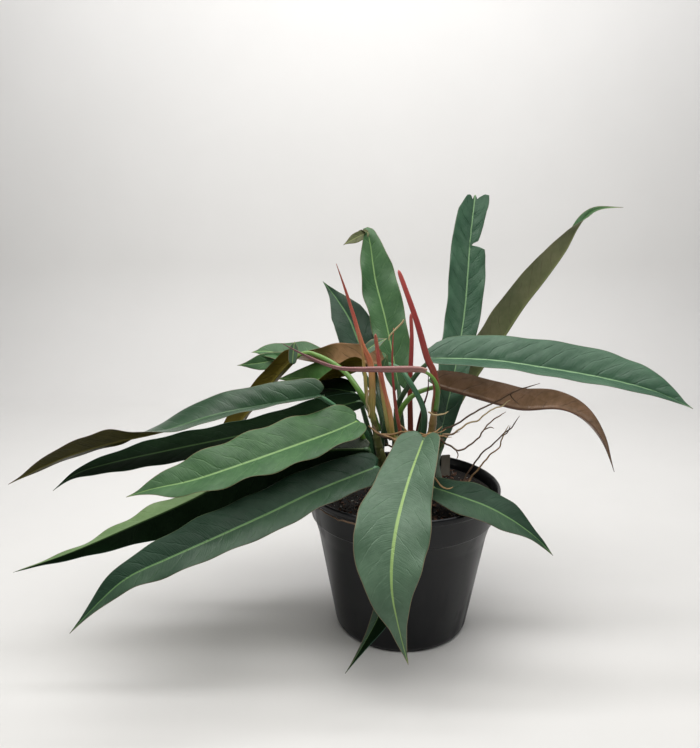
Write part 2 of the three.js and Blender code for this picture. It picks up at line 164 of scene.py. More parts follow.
class Strand(Enum):
    """Finishes of the stalks, stems, sheaths and roots."""

    BRIGHT_STALK = StrandFinish(((0.0, (0.06, 0.14, 0.02)), (0.5, (0.10, 0.23, 0.03)), (1.0,
        (0.16, 0.30, 0.06))), (0.05, 0.11, 0.02))
    TEAL_STALK = StrandFinish(((0.0, (0.035, 0.085, 0.04)), (0.5, (0.05, 0.15, 0.075)), (1.0,
        (0.08, 0.21, 0.10))), (0.025, 0.07, 0.035))
    DARK_STALK = StrandFinish(((0.0, (0.02, 0.045, 0.016)), (0.6, (0.03, 0.075, 0.03)), (1.0,
        (0.06, 0.14, 0.055))), (0.05, 0.035, 0.02))
    STEM = StrandFinish(((0.0, (0.045, 0.04, 0.02)), (0.45, (0.075, 0.085, 0.025)), (1.0,
        (0.13, 0.15, 0.035))), (0.10, 0.055, 0.03), streak_share=0.5, roughness=0.5, bump=0.5)
    OLIVE_STEM = StrandFinish(((0.0, (0.05, 0.045, 0.022)), (0.5, (0.12, 0.11, 0.03)), (1.0,
        (0.24, 0.16, 0.05))), (0.22, 0.07, 0.04), streak_share=0.5, roughness=0.42, bump=0.4)
    SHEATH_SALMON = StrandFinish(((0.0, (0.20, 0.24, 0.045)), (0.2, (0.42, 0.30, 0.085)), (0.42,
        (0.56, 0.17, 0.085)), (0.68, (0.42, 0.055, 0.05)), (1.0, (0.23, 0.022, 0.03))),
        (0.60, 0.34, 0.14), streak_share=0.45, roughness=0.38)
    SHEATH_GREEN = StrandFinish(((0.0, (0.20, 0.20, 0.05)), (0.5, (0.30, 0.27, 0.07)), (1.0,
        (0.42, 0.16, 0.08))), (0.40, 0.13, 0.07), roughness=0.38)
    SHEATH_RED = StrandFinish(((0.0, (0.17, 0.12, 0.03)), (0.16, (0.22, 0.055, 0.03)), (0.6,
        (0.27, 0.028, 0.03)), (1.0, (0.42, 0.075, 0.065))), (0.34, 0.08, 0.06), roughness=0.32)
    SHEATH_MAUVE = StrandFinish(((0.0, (0.33, 0.19, 0.13)), (0.08, (0.29, 0.125, 0.11)), (0.65,
        (0.24, 0.095, 0.10)), (1.0, (0.09, 0.035, 0.035))), (0.38, 0.19, 0.18), roughness=0.3)
    MAROON_STALK = StrandFinish(((0.0, (0.10, 0.03, 0.02)), (0.5, (0.09, 0.018, 0.018)), (1.0,
        (0.07, 0.012, 0.014))), (0.16, 0.04, 0.03))
    ROOT_DARK = StrandFinish(((0.0, (0.09, 0.05, 0.028)), (0.6, (0.12, 0.07, 0.038)), (1.0,
        (0.20, 0.12, 0.065))), (0.22, 0.14, 0.08), 0.5, 0.7, 0.0, 0.6)
    ROOT_TAN = StrandFinish(((0.0, (0.22, 0.13, 0.06)), (0.6, (0.34, 0.20, 0.08)), (1.0,
        (0.50, 0.32, 0.14))), (0.16, 0.08, 0.035), 0.5, 0.65, 0.0, 0.5)
    ROOT_PALE = StrandFinish(((0.0, (0.30, 0.20, 0.10)), (0.5, (0.42, 0.33, 0.17)), (1.0,
        (0.58, 0.47, 0.24))), (0.22, 0.14, 0.07), 0.4, 0.6, 0.0, 0.4)


@dataclass(frozen=True)
class PotFinish:
    """The pot's moulded plastic."""

    base: Rgb = (0.0016, 0.0022, 0.0034)
    haze: Rgb = (0.0115, 0.0125, 0.0145)
    roughness: float = 0.3


@dataclass(frozen=True)
class PlainFinish:
    """A mottled finish with an even grain.

    Attributes:
        first: one colour of the mottling.
        second: the other colour.
        scale: fineness of the mottling.
        roughness: its roughness.
        share: how strongly the second colour shows.
        grain: scale, detail, strength and depth of the relief; empty where there is none.
    """

    first: Rgb
    second: Rgb
    scale: float
    roughness: float
    share: float = 1.0
    grain: tuple[float, ...] = ()


class Plain(Enum):
    """Finishes of the potting mix and the floor."""

    POTTING_MIX = PlainFinish((0.002, 0.0015, 0.001), (0.014, 0.007, 0.004), 120.0, 0.9,
        grain=(700.0, 6.0, 0.8, 0.002))
    BARK_CHIPS = PlainFinish((0.030, 0.015, 0.010), (0.20, 0.095, 0.055), 160.0, 0.85,
        grain=(1400.0, 5.0, 0.6, 0.001))
    PERLITE = PlainFinish((0.85, 0.84, 0.80), (0.20, 0.095, 0.055), 300.0, 0.9, share=0.45,
        grain=(2500.0, 4.0, 0.6, 0.0006))
    FLOOR = PlainFinish((0.66, 0.655, 0.64), (0.68, 0.675, 0.66), 1.5, 0.7)


# ------------------------------------------------------------------ node helpers


class Nodes:
    """Short ways to add and join nodes in one tree."""

    def __init__(self, tree: bpy.types.NodeTree) -> None:
        """Keeps the tree that nodes are added to.

        Args:
            tree: a material's node tree or a node group.
        """
        self.tree = tree

    def add(self, kind: str, **values: object) -> bpy.types.Node:
        """Adds a node.

        Args:
            kind: its type name, without the ShaderNode prefix.
            **values: attributes to set on the node.

        Returns:
            The new node.
        """
        node = self.tree.nodes.new(kind if kind.startswith("NodeGroup") else "ShaderNode" + kind)
        for name, value in values.items():
            setattr(node, name, value)
        return node

    def put(self, socket: bpy.types.NodeSocket, value: object) -> None:
        """Links a socket to another one, or sets it to a number, colour or vector."""
        if isinstance(value, bpy.types.NodeSocket):
            self.tree.links.new(value, socket)
        elif isinstance(value, tuple) and len(value) == 3 and socket.type == "RGBA":
            socket.default_value = (*value, 1.0)
        else:
            socket.default_value = value

    def fill(self, node: bpy.types.Node, **values: object) -> bpy.types.Node:
        """Sets a node's inputs by name, with underscores for spaces, and returns the node."""
        for name, value in values.items():
            self.put(node.inputs[name.replace("_", " ")], value)
        return node

    def first(self, kind: str, *values: object, **settings: object) -> bpy.types.NodeSocket:
        """Adds a node, sets its inputs in order and returns its first output."""
        node = self.add(kind, **settings)
        for socket, value in zip(node.inputs, values):
            self.put(socket, value)
        return node.outputs[0]

    def math(self, operation: str, *values: object, clamp: bool = False) -> bpy.types.NodeSocket:
        """Adds a maths node and returns its value."""
        return self.first("Math", *values, operation=operation, use_clamp=clamp)

    def times(self, a: object, b: object) -> bpy.types.NodeSocket:
        """The product of two values."""
        return self.math("MULTIPLY", a, b)

    def plus(self, a: object, b: object) -> bpy.types.NodeSocket:
        """The sum of two values."""
        return self.math("ADD", a, b)

    def less(self, a: object, b: object) -> bpy.types.NodeSocket:
        """The first value less the second."""
        return self.math("SUBTRACT", a, b)

    def mix(self, share: object, first: object, second: object) -> bpy.types.NodeSocket:
        """Mixes two colours by a share and returns the colour."""
        node = self.add("Mix", data_type="RGBA")
        for index, value in ((0, share), (6, first), (7, second)):
            self.put(node.inputs[index], value)
        return node.outputs[2]

    def span(self, value: object, low: float, high: float, to: tuple[float, float] = (0.0, 1.0),
             ) -> bpy.types.NodeSocket:
        """Maps a value from low..high smoothly to the two ends of to."""
        return self.first("MapRange", value, low, high, *to, interpolation_type="SMOOTHSTEP")

    def noise(self, vector: object, scale: object, detail: float = 3.0, rough: float = 0.55,
              ) -> bpy.types.NodeSocket:
        """Adds a noise texture and returns its value."""
        return self.fill(self.add("TexNoise"), Vector=vector, Scale=scale, Detail=detail,
                         Roughness=rough).outputs[0]

    def position(self) -> bpy.types.NodeSocket:
        """The surface's own position, in metres."""
        return self.add("TexCoord").outputs["Object"]

    def attribute(self, name: str) -> bpy.types.NodeSocket:
        """A stored vector of the mesh."""
        return self.add("Attribute", attribute_name=name).outputs["Vector"]

    def parts(self, vector: object) -> tuple[bpy.types.NodeSocket, ...]:
        """The three numbers of a vector."""
        node = self.add("SeparateXYZ")
        self.put(node.inputs[0], vector)
        return tuple(node.outputs)

    def vector(self, x: object, y: object, z: object) -> bpy.types.NodeSocket:
        """A vector from three numbers."""
        return self.first("CombineXYZ", x, y, z)

    def bump(self, height: object, strength: float, distance: float) -> bpy.types.NodeSocket:
        """A normal from a height."""
        return self.fill(self.add("Bump"), Strength=strength, Distance=distance,
                         Height=height).outputs[0]

    def group(self, tree: bpy.types.NodeTree, **values: object) -> bpy.types.Node:
        """Places a node group and sets its inputs."""
        return self.fill(self.add("Group", node_tree=tree), **values)


VEIN_LEAN = 0.75   # how far a side vein runs towards the tip for each millimetre outwards
VEIN_CURVE = 0.55  # how much more it does so near the margin
VEIN_SPACING = 23.0  # millimetres between side veins along the midrib
VEIN_OFFSET = 3.0    # millimetres that each side's veins are moved along the midrib


class Effects:
    """The shared shader node groups, each built once."""

    def __init__(self) -> None:
        """Builds every group."""
        self.mottle = self._mottle()
        self.venation = self._venation()
        self.streaks = self._streaks()
        self.dust = self._dust()

    @staticmethod
    def _new(name: str, inputs: dict[str, str], outputs: dict[str, str],
             ) -> tuple[Nodes, bpy.types.Node, bpy.types.Node]:
        """Makes an empty group with named sockets.

        Args:
            name: the group's name.
            inputs: socket name to socket type.
            outputs: socket name to socket type.

        Returns:
            The group's nodes helper, its input node and its output node.
        """
        tree = bpy.data.node_groups.new(name, "ShaderNodeTree")
        for way, sockets in (("INPUT", inputs), ("OUTPUT", outputs)):
            for socket, kind in sockets.items():
                tree.interface.new_socket(socket, in_out=way, socket_type="NodeSocket" + kind)
        nodes = Nodes(tree)
        return nodes, nodes.add("NodeGroupInput"), nodes.add("NodeGroupOutput")

    def _mottle(self) -> bpy.types.NodeTree:
        """Soft blotches at two sizes, as a value about 0.5."""
        n, given, out = self._new("Mottle", {"Vector": "Vector", "Scale": "Float"},
                                  {"Value": "Float"})
        place, scale = given.outputs["Vector"], given.outputs["Scale"]
        large = n.noise(place, scale, 2.0, 0.5)
        small = n.noise(place, n.times(scale, 6.0), 5.0, 0.5)
        both = n.plus(n.times(large, 0.65), n.times(small, 0.35))
        n.put(out.inputs["Value"], n.span(both, 0.3, 0.7))
        return n.tree

    def _venation(self) -> bpy.types.NodeTree:
        """Side veins, fine veins, midrib and margin from a blade's own coordinates."""
        n, given, out = self._new(
            "Venation",
            {"Run": "Float", "Span": "Float", "Half": "Float", "Spacing": "Float"},
            {"Vein": "Float", "Fine": "Float", "Rib": "Float", "Margin": "Float"})
        run, side, half = (given.outputs[k] for k in ("Run", "Span", "Half"))
        away = n.math("ABSOLUTE", side)
        share = n.math("DIVIDE", away, n.math("MAXIMUM", half, 0.5))
        lean = n.plus(n.times(away, VEIN_LEAN), n.times(n.times(share, away), VEIN_CURVE))
        wander = n.times(n.noise(n.vector(run, side, 0.0), 0.035), 16.0)
        course = n.plus(n.less(run, lean), wander)
        shifted = n.plus(course, n.times(n.math("SIGN", side), VEIN_OFFSET))
        turn = n.math("DIVIDE", shifted, given.outputs["Spacing"])
        near = n.math("ABSOLUTE", n.less(n.math("FRACT", turn), 0.5))
        fade = n.span(share, 0.98, 0.8)
        patch = n.span(n.noise(n.vector(run, side, 9.0), 0.06), 0.35, 0.62)
        slight = n.less(run, n.times(lean, 0.45))
        fine = n.vector(n.times(slight, 0.7), n.times(side, 0.05), 0.0)
        width = n.plus(n.times(half, 0.035), 0.55)
        n.fill(out, Vein=n.times(n.times(n.span(near, 0.42, 0.495), fade), patch),
               Fine=n.noise(fine, 1.0, 3.0, 0.6),
               Rib=n.span(n.math("DIVIDE", away, width), 1.25, 0.65),
               Margin=n.span(n.less(half, away), 0.9, 0.25))
        return n.tree

    def _streaks(self) -> bpy.types.NodeTree:
        """Fine lengthwise streaks and ring marks from a strand's own coordinates."""
        n, given, out = self._new(
            "Streaks", {"Vector": "Vector"}, {"Streak": "Float", "Ring": "Float"})
        run, across, up = n.parts(given.outputs["Vector"])
        place = n.vector(n.times(across, 2.6), n.times(up, 2.6), n.times(run, 5.0))
        rings = n.vector(0.0, 0.0, n.times(run, 45.0))
        n.fill(out, Streak=n.span(n.noise(place, 2.0, 4.0), 0.42, 0.7),
               Ring=n.noise(rings, 1.0, 4.0, 0.65))
        return n.tree

    def _dust(self) -> bpy.types.NodeTree:
        """Dust and water marks: faint spots and soft runs down a wall."""
        n, given, out = self._new("Dust", {"Vector": "Vector"},
                                  {"Haze": "Float", "Specks": "Float"})
        x, y, z = n.parts(given.outputs["Vector"])
        runs = n.vector(n.times(x, 60.0), n.times(y, 60.0), n.times(z, 7.0))
        haze = n.times(n.noise(runs, 1.0, 4.0), n.noise(given.outputs["Vector"], 14.0, 3.0))
        cells = n.fill(n.add("TexVoronoi"), Vector=given.outputs["Vector"], Scale=260.0)
        n.fill(out, Haze=n.span(haze, 0.2, 0.42),
               Specks=n.span(cells.outputs["Distance"], 0.16, 0.05))
        return n.tree


class Materials:
    """The finishes as materials, each made once."""

    def __init__(self, effects: Effects) -> None:
        """Keeps the shared effects and an empty store.

        Args:
            effects: the shared node groups.
        """
        self.effects = effects
        self.made: dict[str, bpy.types.Material] = {}

    def _start(self, name: str) -> tuple[Nodes, bpy.types.Node, bpy.types.Material]:
        """A new material with only its Principled shader and output."""
        material = bpy.data.materials.new(name)
        material.use_nodes = True
        tree = material.node_tree
        return Nodes(tree), tree.nodes["Principled BSDF"], material

    def _once(self, name: str, build: Callable, finish: object) -> bpy.types.Material:
        """The material of that name, built the first time it is asked for."""
        if name not in self.made:
            self.made[name] = build(name, finish)
        return self.made[name]

    def leaf(self, side: Upper | Under) -> bpy.types.Material:
        """The material of one side of a blade."""
        name = f"leaf {type(side).__name__.lower()} {side.name.lower().replace('_', ' ')}"
        return self._once(name, self._leaf, side.value)

    def strand(self, kind: Strand) -> bpy.types.Material:
        """The material of a stalk, stem, sheath or root."""
        return self._once(kind.name.lower().replace("_", " "), self._strand, kind.value)

    def plain(self, kind: Plain) -> bpy.types.Material:
        """The material of the potting mix or the floor."""
        return self._once(kind.name.lower().replace("_", " "), self._plain, kind.value)

    def _leaf(self, name: str, finish: LeafFinish) -> bpy.types.Material:
        """Builds a blade's material: mottling, veins, midrib, thin margin and waxy gloss."""
        n, shader, material = self._start(name)
        run, span, half = n.parts(n.attribute("blade"))
        veins = n.group(self.effects.venation, Run=run, Span=span, Half=half,
                        Spacing=VEIN_SPACING).outputs
        mottle = n.group(self.effects.mottle, Vector=n.position(), Scale=22.0).outputs["Value"]
        colour = n.mix(mottle, finish.shade, finish.base)
        fine = n.span(veins["Fine"], 0.35, 0.7)
        colour = n.mix(n.times(fine, 0.3), colour, finish.shade)
        colour = n.mix(n.times(veins["Vein"], finish.vein_share), colour, finish.vein)
        # Painted shadow: towards the base the blade's colour fades to near-black.
        if finish.clears:
            near = n.span(run, finish.clears * 0.6, finish.clears, (0.92, 0.0))
            colour = n.mix(near, colour, PAINTED_BASE_SHADOW)
        colour = n.mix(n.times(veins["Rib"], finish.rib_share), colour, finish.rib)
        colour = n.mix(n.times(veins["Margin"], 0.8), colour, finish.margin)
        patch = n.span(n.noise(n.position(), 9.0, 2.0), 0.35, 0.65)
        rough = n.span(patch, 0.0, 1.0, (finish.roughness + 0.12, finish.roughness - 0.06))
        height = n.less(n.times(fine, 0.3), n.times(veins["Vein"], 0.8))
        n.fill(shader, Base_Color=colour, Roughness=rough, Normal=n.bump(height, 0.8, 0.0007),
               Coat_Weight=finish.coat, Coat_Roughness=0.35, Specular_IOR_Level=finish.sheen)
        return material

    def _strand(self, name: str, finish: StrandFinish) -> bpy.types.Material:
        """Builds a strand's material: a ramp along it, streaks, ring marks and gloss."""
        n, shader, material = self._start(name)
        place = n.attribute("strand")
        run = n.parts(place)[0]
        marks = n.group(self.effects.streaks, Vector=place).outputs
        blur = n.times(n.less(n.noise(n.position(), 60.0), 0.5), 0.14)
        ramp = n.add("ValToRGB")
        n.put(ramp.inputs[0], n.math("ADD", run, blur, clamp=True))
        stops = ramp.color_ramp.elements
        for index, (at, colour) in enumerate(finish.ramp):
            stop = stops[index] if index < 2 else stops.new(at)
            stop.position = at
            stop.color = (*colour, 1.0)
        for (_, colour), stop in zip(finish.ramp, sorted(stops, key=lambda s: s.position)):
            stop.color = (*colour, 1.0)
        colour = n.mix(n.times(marks["Streak"], finish.streak_share), ramp.outputs[0],
                       finish.streak)
        rough = n.span(marks["Streak"], 0.0, 1.0,
                       (finish.roughness - 0.04, finish.roughness + 0.12))
        relief = n.bump(n.plus(marks["Ring"], marks["Streak"]), finish.bump, 0.0006)
        n.fill(shader, Base_Color=colour, Roughness=rough, Normal=relief,
               Coat_Weight=finish.coat, Coat_Roughness=0.3)
        return material

    def _plain(self, name: str, finish: PlainFinish) -> bpy.types.Material:
        """Builds a mottled material with an even grain."""
        n, shader, material = self._start(name)
        mottle = n.group(self.effects.mottle, Vector=n.position(), Scale=finish.scale)
        share = n.times(mottle.outputs["Value"], finish.share)
        n.fill(shader, Base_Color=n.mix(share, finish.first, finish.second),
               Roughness=finish.roughness)
        if finish.grain:
            scale, detail, strength, depth = finish.grain
            grain = n.noise(n.position(), scale, detail)
            n.fill(shader, Normal=n.bump(grain, strength, depth))
        return material

    def pot(self) -> bpy.types.Material:
        """Black moulded plastic with faint runs, dust and fine moulding texture."""
        finish = PotFinish()
        n, shader, material = self._start("pot plastic")
        marks = n.group(self.effects.dust, Vector=n.position()).outputs
        share = n.plus(n.times(marks["Haze"], 0.22), n.times(marks["Specks"], 0.12))
        rough = n.span(marks["Haze"], 0.0, 1.0, (finish.roughness, finish.roughness + 0.2))
        grain = n.noise(n.position(), 900.0, 4.0)
        n.fill(shader, Base_Color=n.mix(share, finish.base, finish.haze), Roughness=rough,
               Normal=n.bump(grain, 0.12, 0.0002), Specular_IOR_Level=0.28)
        return material

    def label(self) -> bpy.types.Material:
        """Weathered grey-brown plastic of a plant label."""
        n, shader, material = self._start("label plastic")
        marks = n.group(self.effects.dust, Vector=n.position()).outputs
        colour = n.mix(marks["Haze"], (0.30, 0.28, 0.235), (0.18, 0.155, 0.12))
        n.fill(shader, Base_Color=colour,
               Roughness=n.span(marks["Haze"], 0.0, 1.0, (0.5, 0.75)),
               Normal=n.bump(marks["Specks"], 0.2, 0.0003))
        return material


# ------------------------------------------------------------------ curves and meshes


class Course:
    """A smooth curve through given points."""

    def __init__(self, points: list[Triple]) -> None:
        """Samples the centripetal Catmull-Rom curve through the points.

        Args:
            points: places in millimetres.
        """
        given = np.array(points, float)
        ends = np.vstack([2 * given[0] - given[1], given, 2 * given[-1] - given[-2]])
        dense = [self._stretch(ends[i:i + 4], i == len(given) - 2) for i in range(len(given) - 1)]
        self.dense = np.vstack(dense)
        steps = np.linalg.norm(np.diff(self.dense, axis=0), axis=1)
        self.reach = np.concatenate([[0.0], np.cumsum(steps)])
        self.length = float(self.reach[-1])

    @staticmethod
    def _stretch(four: np.ndarray, last: bool, samples: int = 24) -> np.ndarray:
        """The stretch between the middle two of four points."""
        knots = [0.0]
        for a, b in zip(four, four[1:]):
            knots.append(knots[-1] + math.sqrt(float(np.linalg.norm(b - a))))
        t = np.linspace(knots[1], knots[2], samples, endpoint=last)[:, None]
        level = list(four)
        for width in (1, 2):
            level = [((knots[i + width] - t) * a + (t - knots[i]) * b)
                     / (knots[i + width] - knots[i])
                     for i, (a, b) in enumerate(zip(level, level[1:]))]
        return ((knots[2] - t) * level[0] + (t - knots[1]) * level[1]) / (knots[2] - knots[1])

    def at(self, shares: np.ndarray, soften: float = 0.0) -> np.ndarray:
        """Points at shares of the length.

        Args:
            shares: values from 0 to 1.
            soften: share of the length over which corners are smoothed.

        Returns:
            One row of x, y, z for each share.
        """
        fine = np.linspace(0.0, 1.0, FINE)
        line = np.stack([np.interp(fine * self.length, self.reach, self.dense[:, k])
                         for k in range(3)], 1)
        if soften > 0.0:
            line = smoothed(line, soften)
        return np.stack([np.interp(shares, fine, line[:, k]) for k in range(3)], 1)


def smoothed(rows: np.ndarray, width: float) -> np.ndarray:
    """Rows blurred along their length, with both ends kept in place.

    Args:
        rows: values at even steps from 0 to 1.
        width: share of the length that the blur covers.

    Returns:
        Rows of the same shape.
    """
    count = len(rows)
    reach = max(1, int(width * count))
    ramp = np.linspace(0, 1, count)[:, None]
    line = rows[0] + (rows[-1] - rows[0]) * ramp
    rest = rows - line
    padded = np.vstack([-rest[reach:0:-1], rest, -rest[-2:-reach - 2:-1]])
    kernel = np.hanning(2 * reach + 1)
    kernel /= kernel.sum()
    blurred = np.stack([np.convolve(column, kernel, "valid") for column in padded.T], 1)
    return line + blurred


def unit(rows: np.ndarray) -> np.ndarray:
    """Rows scaled to length 1."""
    return rows / np.maximum(np.linalg.norm(rows, axis=-1, keepdims=True), 1e-9)


def along(values: list, shares: np.ndarray) -> np.ndarray:
    """Numbers or vectors spread evenly from 0 to 1, read at shares and smoothed."""
    table = np.array(values, float)
    table = table.reshape(len(values), -1)
    if len(table) == 1:
        return np.repeat(table, len(shares), axis=0)
    fine = np.linspace(0, 1, FINE)
    places = np.linspace(0, 1, len(table))
    rows = np.stack([np.interp(fine, places, table[:, k]) for k in range(table.shape[1])], 1)
    rows = smoothed(rows, 0.06)
    return np.stack([np.interp(shares, fine, rows[:, k]) for k in range(rows.shape[1])], 1)


class Sheet:
    """Collects points, faces, materials and stored vectors, and makes one mesh object."""

    def __init__(self) -> None:
        """Starts empty."""
        self.points: list[np.ndarray] = []
        self.stored: list[np.ndarray] = []
        self.faces: list[np.ndarray] = []
        self.slots: list[np.ndarray] = []
        self.count = 0

    def grid(self, points: np.ndarray, stored: np.ndarray, slot: int = 0, flip: bool = False,
             ring: bool = False) -> np.ndarray:
        """Adds a grid of points with its faces.

        Args:
            points: rows by columns by 3, in millimetres.
            stored: rows by columns by 3, the vector kept at each point.
            slot: material slot of the faces.
            flip: turns the faces over.
            ring: joins the last column to the first.

        Returns:
            The index of each point, rows by columns.
        """
        rows, columns = points.shape[:2]
        index = np.arange(rows * columns).reshape(rows, columns) + self.count
        self.points.append(points.reshape(-1, 3))
        self.stored.append(stored.reshape(-1, 3))
        self.count += rows * columns
        wide = np.hstack([index, index[:, :1]]) if ring else index
        quads = np.stack([wide[:-1, :-1], wide[:-1, 1:], wide[1:, 1:], wide[1:, :-1]], -1)
        self.quads(quads.reshape(-1, 4), slot, flip)
        return index

    def quads(self, quads: np.ndarray, slot: int = 0, flip: bool = False) -> None:
        """Adds faces by point index, one row of three or four for each face."""
        self.faces.append(quads[:, ::-1] if flip else quads)
        self.slots.append(np.full(len(quads), slot))

    def strip(self, first: np.ndarray, second: np.ndarray, slot: int = 0) -> None:
        """Adds a strip of faces between two equal rows of points."""
        self.quads(np.stack([first[:-1], first[1:], second[1:], second[:-1]], -1), slot)

    def cap(self, loop: np.ndarray, slot: int = 0, flip: bool = False) -> None:
        """Closes a ring of points with a fan of triangles round a new middle point."""
        points = np.vstack(self.points)[loop]
        stored = np.vstack(self.stored)[loop]
        self.points.append(points.mean(0, keepdims=True))
        self.stored.append(stored.mean(0, keepdims=True))
        middle = np.full(len(loop), self.count)
        self.count += 1
        self.quads(np.stack([loop, np.roll(loop, -1), middle], -1), slot, flip)

    def make(self, name: str, attribute: str, materials: list[bpy.types.Material],
             ) -> bpy.types.Object:
        """Makes the mesh object.

        Args:
            name: the piece's name.
            attribute: name under which the stored vectors are kept.
            materials: one for each slot.

        Returns:
            The new object, linked to the scene.
        """
        mesh = bpy.data.meshes.new(name)
        faces = [tuple(int(i) for i in row) for block in self.faces for row in block]
        mesh.from_pydata((np.vstack(self.points) * MM).tolist(), [], faces)
        for material in materials:
            mesh.materials.append(material)
        mesh.polygons.foreach_set("material_index", np.concatenate(self.slots).astype(np.int32))
        mesh.polygons.foreach_set("use_smooth", np.ones(len(faces), bool))
        kept = mesh.attributes.new(attribute, "FLOAT_VECTOR", "POINT")
        kept.data.foreach_set("vector", np.vstack(self.stored).astype(np.float32).ravel())
        mesh.validate()
        mesh.update()
        return linked(bpy.data.objects.new(name, mesh))


def linked(thing: bpy.types.Object) -> bpy.types.Object:
    """Links a new object to the scene and returns it."""
    bpy.context.scene.collection.objects.link(thing)
    return thing


def formed(name: str, work: bmesh.types.BMesh, *materials: bpy.types.Material,
           ) -> bpy.types.Object:
    """Makes a linked object from finished bmesh work, and frees the work."""
    mesh = bpy.data.meshes.new(name)
    work.to_mesh(mesh)
    work.free()
    for material in materials:
        mesh.materials.append(material)
    return linked(bpy.data.objects.new(name, mesh))


def settle(piece: bpy.types.Object, slot: str, *nodes: str) -> None:
    """Puts a finished piece on the body, in place of its solids.

    Args:
        piece: the piece.
        slot: the record's material slot; not used.
        *nodes: the CAD nodes that the piece stands for.
    """
    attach(piece, BODY)
    if nodes:
        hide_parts(*nodes)
    LOG.info("%s: %d faces", piece.name, len(piece.data.polygons))


# ------------------------------------------------------------------ leaves


# The torn leaf's right half: share of the length, share of the half width that is left.
TEAR = ((0, 0.85), (0.4, 0.72), (0.66, 0.83), (0.745, 0.82), (0.77, 0.76), (0.779, 0.5),
        (0.786, 0.08), (0.796, 0.17), (0.805, 0.4), (0.82, 0.47), (0.87, 0.64), (0.93, 0.78),
        (1, 1.24))

# Ragged top of the torn leaf: millimetres lost at places across, from edge to edge.
RAGGED = ((-1, 9), (-0.8, 3.5), (-0.55, 2.5), (-0.35, 4), (-0.22, 9), (-0.06, 2), (0.05, 1),
          (0.2, 7.5), (0.32, 5), (0.7, 0.5), (1, 1.5))


class Shape(Enum):
    """Outline of a blade: half width as a share of its widest, at shares of its length."""

    WHOLE = ((0, 0.28), (0.01, 0.48), (0.03, 0.65), (0.065, 0.76), (0.14, 0.85), (0.3, 0.95),
        (0.45, 1), (0.6, 0.86), (0.72, 0.57), (0.83, 0.28), (0.93, 0.09), (1, 0.004))
    FULL = ((0, 0.34), (0.01, 0.58), (0.028, 0.76), (0.06, 0.86), (0.14, 0.93), (0.3, 0.98),
        (0.45, 1), (0.6, 0.95), (0.72, 0.8), (0.83, 0.53), (0.91, 0.26), (0.955, 0.085),
        (1, 0.006))
    LATE = ((0, 0.28), (0.01, 0.47), (0.03, 0.61), (0.065, 0.68), (0.14, 0.73), (0.3, 0.82),
        (0.42, 0.97), (0.5, 1), (0.6, 0.84), (0.72, 0.5), (0.82, 0.23), (0.93, 0.08), (1, 0.004))
    TORN = ((0, 0.16), (0.012, 0.32), (0.04, 0.5), (0.08, 0.64), (0.2, 0.85), (0.4, 0.97),
        (0.6, 1), (0.8, 0.95), (0.93, 0.82), (1, 0.52))


